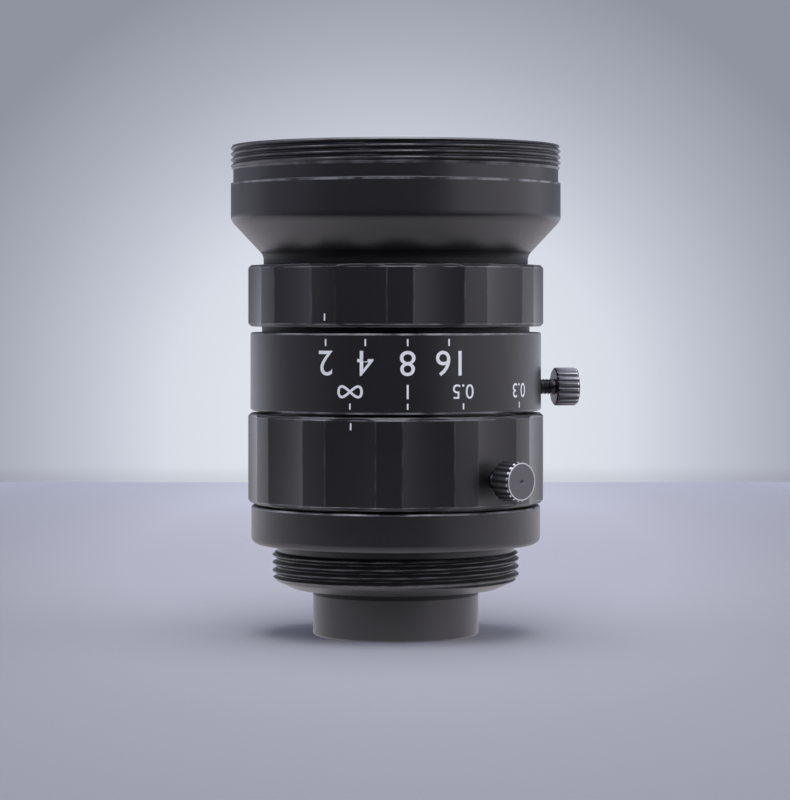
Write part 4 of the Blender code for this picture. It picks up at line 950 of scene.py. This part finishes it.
# %% Main barrel
BAND_RADIUS = 14.98
CORE_BORE = 11.2
outline = rounded([
    (12.2, 38.0), (12.2, 24.2, 0), (14.1, 24.2, 0), (14.1, 31.1), (14.83, 31.1),
    (BAND_RADIUS, 30.95), (BAND_RADIUS, 23.25), (14.83, 23.1), (11.81, 23.1, 0), (11.81, 10.7),
    (10.21, 10.7), (10.21, 31.05), (CORE_BORE, 31.05, 0), (CORE_BORE, 38.0),
])
mesh = grid_mesh("main_barrel_turned", carried_round(outline, evenly(COLUMNS)))
pin_half = math.degrees(PIN_RADIUS / CORE_BORE)
tools = [
    swept_tool(
        10.9,
        12.5,
        DRIVE_PIN_Z - PIN_RADIUS,
        DRIVE_PIN_Z + PIN_RADIUS,
        DRIVE_PIN_AZIMUTH - pin_half,
        DRIVE_PIN_AZIMUTH + IRIS_TURN + pin_half,
    ),
    bar_tool(TAPPED_RADIUS, 13.8, 15.21, *IRIS_LOCK),
    bar_tool(PIN_RADIUS, 9.91, TUBE_INNER, FOLLOWER_AZIMUTH, FOLLOWER_Z, sides=24),
]
mesh = cut(mesh, tools)
# Painted shade on the band's top step, in the gap under the iris ring.
dulled(mesh, 30.8, 31.8, 14.75)
finish_piece(mesh, "head", BLACK_OXIDE, ["main_barrel"])

# %% [markdown]
# ## Front barrel
# From the neck, which gets painted shade, a nearly black finish, a cone flares out to the band that
# holds the large front glass. Above a relief groove is a fine filter thread. Its turns are about
# 0.5 mm apart on the real one, and they are drawn at 0.6 mm so that they show. The bore in front of
# the glass has fine grooves too, that keep stray light down.

# %% Front barrel
FILTER_CREST = 17.0
FILTER_PITCH = 0.6
FILTER_DEPTH = 0.27
BORE_RADIUS = 14.3
GROOVE_PITCH = 0.4
GROOVE_DEPTH = 0.12
# The chamfer under the filter thread is paler: partly worn, partly a painted highlight.
CHAMFER_WEAR_AND_GLINT = 0.45
outline = rounded([
    (16.83, 50.3), (FILTER_CREST, 50.13), (FILTER_CREST, 48.05), (16.75, 47.8),
    (16.75, 46.4, 0.1), (17.1, 46.4), (17.26, 46.24), (17.26, 42.87, 2.5), (13.63, 38.99, 1.6),
    (13.63, 38.08, 0), (12.9, 38.08, 0), (12.9, 38.3, 0), (10.9, 38.3, 0), (10.9, 35.8),
    (8.3, 35.8), (8.3, 38.6, 0), (6.9, 38.6), (6.9, 39.3), (9.3, 39.3, 0), (9.3, 43.2),
    (13.5, 43.2, 0), (13.5, 46.5), (BORE_RADIUS, 46.5, 0), (BORE_RADIUS, 49.6), (15.0, 50.3),
], steps=6)
outline = refined(outline, 47.9, 50.2, FILTER_PITCH / 12)
outer_thread = threaded(FILTER_CREST, FILTER_DEPTH, FILTER_PITCH, 47.85, 50.4, 0.3)


def front_radius(r, z, a, wear_and_glint):
    """radius_at: the filter thread outside, and the grooves of the bore inside.

    A groove is R = r + depth * (1 - |2 frac(z / pitch) - 1|). The chamfer under the thread is paler,
    partly worn and partly a painted highlight.
    """
    inside = (np.abs(r - BORE_RADIUS) < 0.01) & (z > 48.4) & (z < 49.5)
    turned, wear_and_glint = outer_thread(r, z, a, wear_and_glint)
    wear_and_glint = np.where((z > 47.75) & (z < 48.07) & (r > 16.7), CHAMFER_WEAR_AND_GLINT, wear_and_glint)
    return np.where(inside, r + GROOVE_DEPTH * (1 - zigzag(z / GROOVE_PITCH)), turned), wear_and_glint


mesh = grid_mesh("front_barrel_turned", carried_round(outline, evenly(COLUMNS), front_radius))
# Painted shade on the neck, under the cone's overhang.
dulled(mesh, 38.0, 39.65, 14.4)
finish_piece(mesh, "head", BLACK_OXIDE, ["front_barrel"])

# %% [markdown]
# ## Retaining rings
# Thin black rings screw down on the glass. The front one has two slots for a spanner.

# %% Retaining rings
outline = rounded([
    (14.0, 48.2, 0.1), (14.0, 46.8), (12.5, 46.8), (12.5, 48.02), (12.68, 48.2),
])
mesh = grid_mesh("front_retaining_ring_turned", carried_round(outline, evenly(192)))
SPANNER_SLOT = 1.0
half = math.degrees(SPANNER_SLOT / 2 / 13.2)
tools = [swept_tool(12.2, 14.3, 47.6, 48.5, a - half, a + half, steps=2) for a in (0.0, 180.0)]
mesh = cut(mesh, tools)
finish_piece(mesh, "head", MATT_OXIDE, ["front_retaining_ring"])
outline = rounded([
    (6.1, 2.9), (6.1, 1.6, 0.1), (5.18, 1.6), (5.0, 1.78), (5.0, 2.9),
])
mesh = grid_mesh("rear_retaining_ring_turned", carried_round(outline, evenly(144)))
finish_piece(mesh, "head", MATT_OXIDE, ["rear_retaining_ring"])

# %% [markdown]
# ## Glass
# Each element is ground to two spherical surfaces, so its profile is two arcs and a flat rim.
# It is the coating that gives the reflections their tint.


# %% Glass elements
GROUND_EDGE = 0.06


def dome(half_width, curve, bulge, level, steps=14):
    """Points (r, z) outwards on a sphere.

    z = level + bulge * (sqrt(curve^2 - r^2) - sqrt(curve^2 - half_width^2)).
    """
    r = half_width * np.sin(np.linspace(0.0, math.pi / 2, steps + 1))
    z = level + bulge * (np.sqrt(curve**2 - r**2) - math.sqrt(curve**2 - half_width**2))
    return np.stack([r, z], axis=-1)


def element(node, radius, low, high, top, foot, material):
    """A glass body from the axis out over its top, down its ground edge and back under its foot."""
    rim = rounded([(radius, high, GROUND_EDGE), (radius, low, GROUND_EDGE), (0.0, (low + high) / 2, 0)])
    rim = rim[rim[:, 0] > radius - GROUND_EDGE - 0.01]
    outline = np.concatenate([dome(*top, high), rim[:, :2], dome(*foot, low)[::-1]])
    outline[0, 0] = outline[-1, 0] = 0.0
    outline = np.column_stack([outline, np.zeros(len(outline))])
    mesh = grid_mesh(node + "_polished", carried_round(outline, evenly(96)), solid=True)
    finish_piece(mesh, "head", material, [node])


# Half width, radius of the curve and its side (1 bulges upwards), for the top and for the foot.
element("front_meniscus", 13.2, 43.5, 46.5, (12.3, 30.0, 1), (8.0, 10.5, 1), CROWN_GLASS)
element("second_meniscus", 9.0, 39.6, 41.6, (8.2, 20.0, 1), (6.0, 8.0, 1), FLINT_GLASS)
element("third_positive", 8.0, 37.1, 38.3, (6.7, 22.0, 1), (6.7, 22.0, -1), FLINT_GLASS)
element("rear_element", 6.1, 3.2, 5.9, (5.0, 14.0, 1), (5.0, 30.0, 1), CROWN_GLASS)
element("rear_positive", 8.11, 12.3, 15.3, (7.41, 18.0, 1), (6.81, 30.0, -1), CROWN_GLASS)
element("doublet_flint", 8.11, 19.4, 22.603, (8.11, 18.0, -1), (7.41, 40.0, 1), FLINT_GLASS)
element("doublet_crown", 8.11, 22.903, 24.103, (7.41, 16.0, 1), (8.11, 18.0, -1), CROWN_GLASS)

# %% [markdown]
# ## Lock screws
# Each ring is locked by a thumbscrew. Its head is a steel disc with straight knurling and a turned
# face, and its shank goes through a tapped hole to a soft tip. It is a profile carried round the
# screw's own axis, whose radius drops into a groove between the ridges of the knurl.

# %% Lock screws
RIDGES = 20
COLUMNS_A_RIDGE = 12
KNURL_DEPTH = 0.13
HEAD_RADIUS = 1.99
HEAD_LENGTH = 2.4
BEVEL = 0.22
SHANK_RADIUS = 0.8
SCREW_PITCH = 0.35
SCREW_DEPTH = 0.09
FACE_WEAR_AND_GLINT = 0.16


def lock_screw(node, azimuth, level, start, shank):
    """A knurled thumbscrew that points outwards, from its shank's end to its turned face.

    In the knurl R = r - depth * groove, with groove = clip((|2 frac(20 a / 2 pi) - 1| - 0.25) / 0.55)
    smoothed as 3g^2 - 2g^3, and it fades out over the bevels, where r is under the groove's floor.
    On the shank R = r - 0.09 v, where v is the V of a thread with a pitch of 0.35 mm. The
    wear_and_glint is 1 on the face's rim and on the ridges' outer ends, and slight on the face:
    partly worn steel, and partly painted highlight, the specks on the ridges and the pale face.
    """
    seat = start + shank
    face = seat + HEAD_LENGTH
    floor = HEAD_RADIUS - KNURL_DEPTH
    corners = [
        (0.0, face - 0.05, 0),
        (0.16, face - 0.05, 0.02),
        (0.24, face, 0.02),
        *((r, face, 0) for r in np.linspace(0.34, floor - 0.14, 9)),
        (floor - 0.07, face, 0),
        (floor, face, 0.02),
        (floor + 0.02, face - 0.06, 0.02),
        (HEAD_RADIUS, face - BEVEL),
        (HEAD_RADIUS, seat + 0.16),
        (floor - 0.06, seat, 0.03),
        (SHANK_RADIUS + 0.25, seat, 0.03),
        (SHANK_RADIUS + 0.02, seat, 0.0),
        (SHANK_RADIUS, seat - 0.08, 0),
        (SHANK_RADIUS, start + 0.12, 0),
        (SHANK_RADIUS - 0.12, start, 0.02),
        (0.0, start, 0),
    ]
    outline = refined(rounded(corners, steps=3), start + 0.1, seat - 0.05, SCREW_PITCH / 10)
    around = evenly(RIDGES * COLUMNS_A_RIDGE)
    rho, out = (np.repeat(outline[:, i : i + 1], len(around), axis=1) for i in range(2))
    groove = np.clip((zigzag(RIDGES * around[None] / (2 * math.pi)) - 0.25) / 0.55, 0.0, 1.0)
    groove = 3 * groove**2 - 2 * groove**3
    rho = np.minimum(rho, np.where(rho > floor - 0.02, HEAD_RADIUS - KNURL_DEPTH * groove, rho))
    v = zigzag(out / SCREW_PITCH - around[None] / (2 * math.pi))
    fade = np.clip((out - start - 0.1) / 0.2, 0.0, 1.0) * np.clip((seat - 0.15 - out) / 0.2, 0.0, 1.0)
    rho = np.where(np.abs(rho - SHANK_RADIUS) < 1e-6, rho - SCREW_DEPTH * v * fade, rho)
    local = np.stack([rho * np.cos(around), rho * np.sin(around), out], axis=-1)
    rim = np.clip((rho - floor + 0.12) / 0.03, 0.0, 1.0) * (out > face - 0.04)
    ends = np.exp(-(((out - face + BEVEL) / 0.06) ** 2)) * np.clip((rho - floor - 0.05) / 0.06, 0.0, 1.0)
    wear_and_glint = np.maximum(np.clip(rim + ends, 0.0, 1.0), FACE_WEAR_AND_GLINT * (out > face - 0.03))
    points = np.concatenate([aimed(local, azimuth, level), wear_and_glint[..., None]], axis=-1)
    mesh = grid_mesh(node + "_knurled", points, solid=True)
    finish_piece(mesh, node, BLACK_STEEL, [node], smooth_angle=35.0)


lock_screw("focus_lock_screw", *FOCUS_LOCK, 13.76, 2.24)
lock_screw("iris_lock_screw", *IRIS_LOCK, 14.25, 2.5)

# %% [markdown]
# ## Scales
# White enamel fills the engraved scales. The numbers are generic: stops from 2 to 16 on the upper
# row, for the iris ring, and distances in metres on the lower row, for the focus ring. The focus
# turns by an angle that goes with 1 / distance, 22 degrees a dioptre, from infinity on. The marks
# stand upside down here because the lens stands on its rear end. Each is a thin raised solid that
# stands 0.02 mm proud, bent round the band: its x becomes the azimuth, its y the height and its z
# the radius.

# %% Numbers and marks
MARK_SINK = 0.05
MARK_PROUD = 0.02
TEXT_CAP = 0.73


def flat_text(words, height):
    """Vertices (x, y, z) in millimetres and faces of a text of a capital height, centred, 1 deep."""
    curve = bpy.data.curves.new("number", "FONT")
    curve.body = words
    curve.size = height / TEXT_CAP
    curve.extrude = 0.5
    curve.align_x = "CENTER"
    curve.align_y = "CENTER"
    curve.resolution_u = 4
    obj = linked("number", curve)
    mesh = mended(final_mesh(obj), merge=1e-4, triangles=True)
    bpy.data.objects.remove(obj)
    verts = np.empty(3 * len(mesh.vertices), dtype=np.float32)
    mesh.vertices.foreach_get("co", verts)
    verts = verts.reshape(-1, 3).astype(float)
    faces = np.empty(len(mesh.loops), dtype=np.int32)
    mesh.loops.foreach_get("vertex_index", faces)
    verts[:, :2] -= (verts[:, :2].min(axis=0) + verts[:, :2].max(axis=0)) / 2
    return verts, faces.reshape(-1, 3)


def bar(width, height):
    """A plain rectangular mark, in the same form as a text."""
    corners = np.array([(-1, -1), (1, -1), (1, 1), (-1, 1)]) * (width / 2, height / 2)
    verts = [np.column_stack([corners, np.full(4, z)]) for z in (-0.5, 0.5)]
    faces = [*grid_faces(2, 4, closed=False), (0, 1, 2, 3), (4, 5, 6, 7)]
    return np.concatenate(verts), np.array(faces)


def lying_eight(width, height, stroke):
    """A figure eight on its side: the path (w/2 cos t, h/2 sin 2t) with a flat stroke of even width."""
    count = 48
    t = evenly(count)
    middle = np.stack([width / 2 * np.cos(t), height / 2 * np.sin(2 * t)], axis=-1)
    dx = -width / 2 * np.sin(t)
    dy = height * np.cos(2 * t)
    side = np.stack([-dy, dx], axis=-1) / np.hypot(dx, dy)[:, None] * stroke / 2
    edges = [(middle - side, -0.5), (middle + side, -0.5), (middle + side, 0.5), (middle - side, 0.5)]
    ring = np.stack([np.column_stack([edge, np.full(count, z)]) for edge, z in edges], axis=1)
    return ring.reshape(-1, 3), grid_faces(count, 4)


def bent(shape, azimuth, level, radius):
    """The flat shape upside down on a cylinder.

    a = azimuth - x / radius, z = level - y, and R is the radius plus or less a small depth.
    """
    verts, faces = shape
    a = math.radians(azimuth) - verts[:, 0] / radius
    r = np.where(verts[:, 2] > 0, radius + MARK_PROUD, radius - MARK_SINK)
    return np.stack([r * np.sin(a), -r * np.cos(a), level - verts[:, 1]], axis=-1), faces


def marks(name, shapes, body):
    """One piece from several bent shapes, with its normals turned outwards."""
    mesh = bpy.data.meshes.new(name)
    verts = []
    faces = []
    count = 0
    for shape_verts, shape_faces in shapes:
        verts.append(shape_verts * MM)
        faces += (shape_faces + count).tolist()
        count += len(shape_verts)
    mesh.from_pydata(np.concatenate(verts).tolist(), [], faces)
    finish_piece(mended(mesh), body, ENAMEL)


STOPS = [("2", -1.0), ("4", 15.0), ("8", 31.0), ("16", 47.0)]
STOP_HEIGHT = 2.6
STOP_LEVEL = 28.15
STOP_TICK_LEVEL = 30.2
TICK = (0.16, 0.7)
DISTANCES = [1.0, 0.5, 0.3, 0.15, 0.1]
DISTANCE_HEIGHT = 1.5
DISTANCE_LEVEL = 25.35
DISTANCE_TICK_LEVEL = 23.9
SHORT_TICK = (0.16, 0.6)
FOCUS_START = 9.0
DEGREES_PER_DIOPTRE = 22.0
IRIS_INDEX_LEVEL = 32.7
FOCUS_INDEX_LEVEL = 21.9
shapes = []
for words, azimuth in STOPS:
    shapes.append(bent(flat_text(words, STOP_HEIGHT), azimuth, STOP_LEVEL, BAND_RADIUS))
    shapes.append(bent(bar(*TICK), azimuth, STOP_TICK_LEVEL, BAND_RADIUS))
scale = [(lying_eight(2.4, 1.05, 0.25), 0.0)]
scale += [(flat_text(f"{metres:g}", DISTANCE_HEIGHT), DEGREES_PER_DIOPTRE / metres) for metres in DISTANCES]
for shape, turned_by in scale:
    shapes.append(bent(shape, FOCUS_START + turned_by, DISTANCE_LEVEL, BAND_RADIUS))
    shapes.append(bent(bar(*SHORT_TICK), FOCUS_START + turned_by, DISTANCE_TICK_LEVEL, BAND_RADIUS))
marks("scale_marks", shapes, "head")
marks("iris_index", [bent(bar(*TICK), STOPS[0][1], IRIS_INDEX_LEVEL, RING_RADIUS)], "iris_ring")
marks("focus_index", [bent(bar(*TICK), FOCUS_START, FOCUS_INDEX_LEVEL, FLUTE_FLOOR)], "focus_ring")

# %% [markdown]
# ## The parts that stay as they are
# The rest of the CAD model has the right shape already: the iris, the pins, the spacers and the
# rings inside. Each gets the finish of the real part in its own material slot.

# %% Finishes for the other parts
FINISHES = {
    BLACK_OXIDE: ["focus_ring_retainer"],
    MATT_OXIDE: ["front_spacer", "front_group_ring", "rear_spacer", "rear_group_ring", "iris_base_plate"],
    BLADE_STEEL: ["iris_rotor"] + ["iris_blade_" + str(i) for i in range(1, 7)],
    BRIGHT_STEEL: ["focus_follower_pin", "iris_drive_pin"],
    NYLON: ["focus_lock_tip", "iris_lock_tip"],
}
for material, names in FINISHES.items():
    for name in names:
        for place_of_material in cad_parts[name].material_slots:
            place_of_material.material = material
print("refinished nodes:", sum(len(names) for names in FINISHES.values()))

# %% [markdown]
# ## Size
# Both boxes are kept, so that the dressed lens can be compared with the CAD model.

# %% Size and finish
visual_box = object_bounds()
boxes = {"cad": [list(map(float, corner)) for corner in cad_box]}
boxes["visual"] = [list(map(float, corner)) for corner in visual_box]
size = [round(1000 * (h - l), 2) for l, h in zip(*boxes["visual"])]
print("visual size in mm:", size)
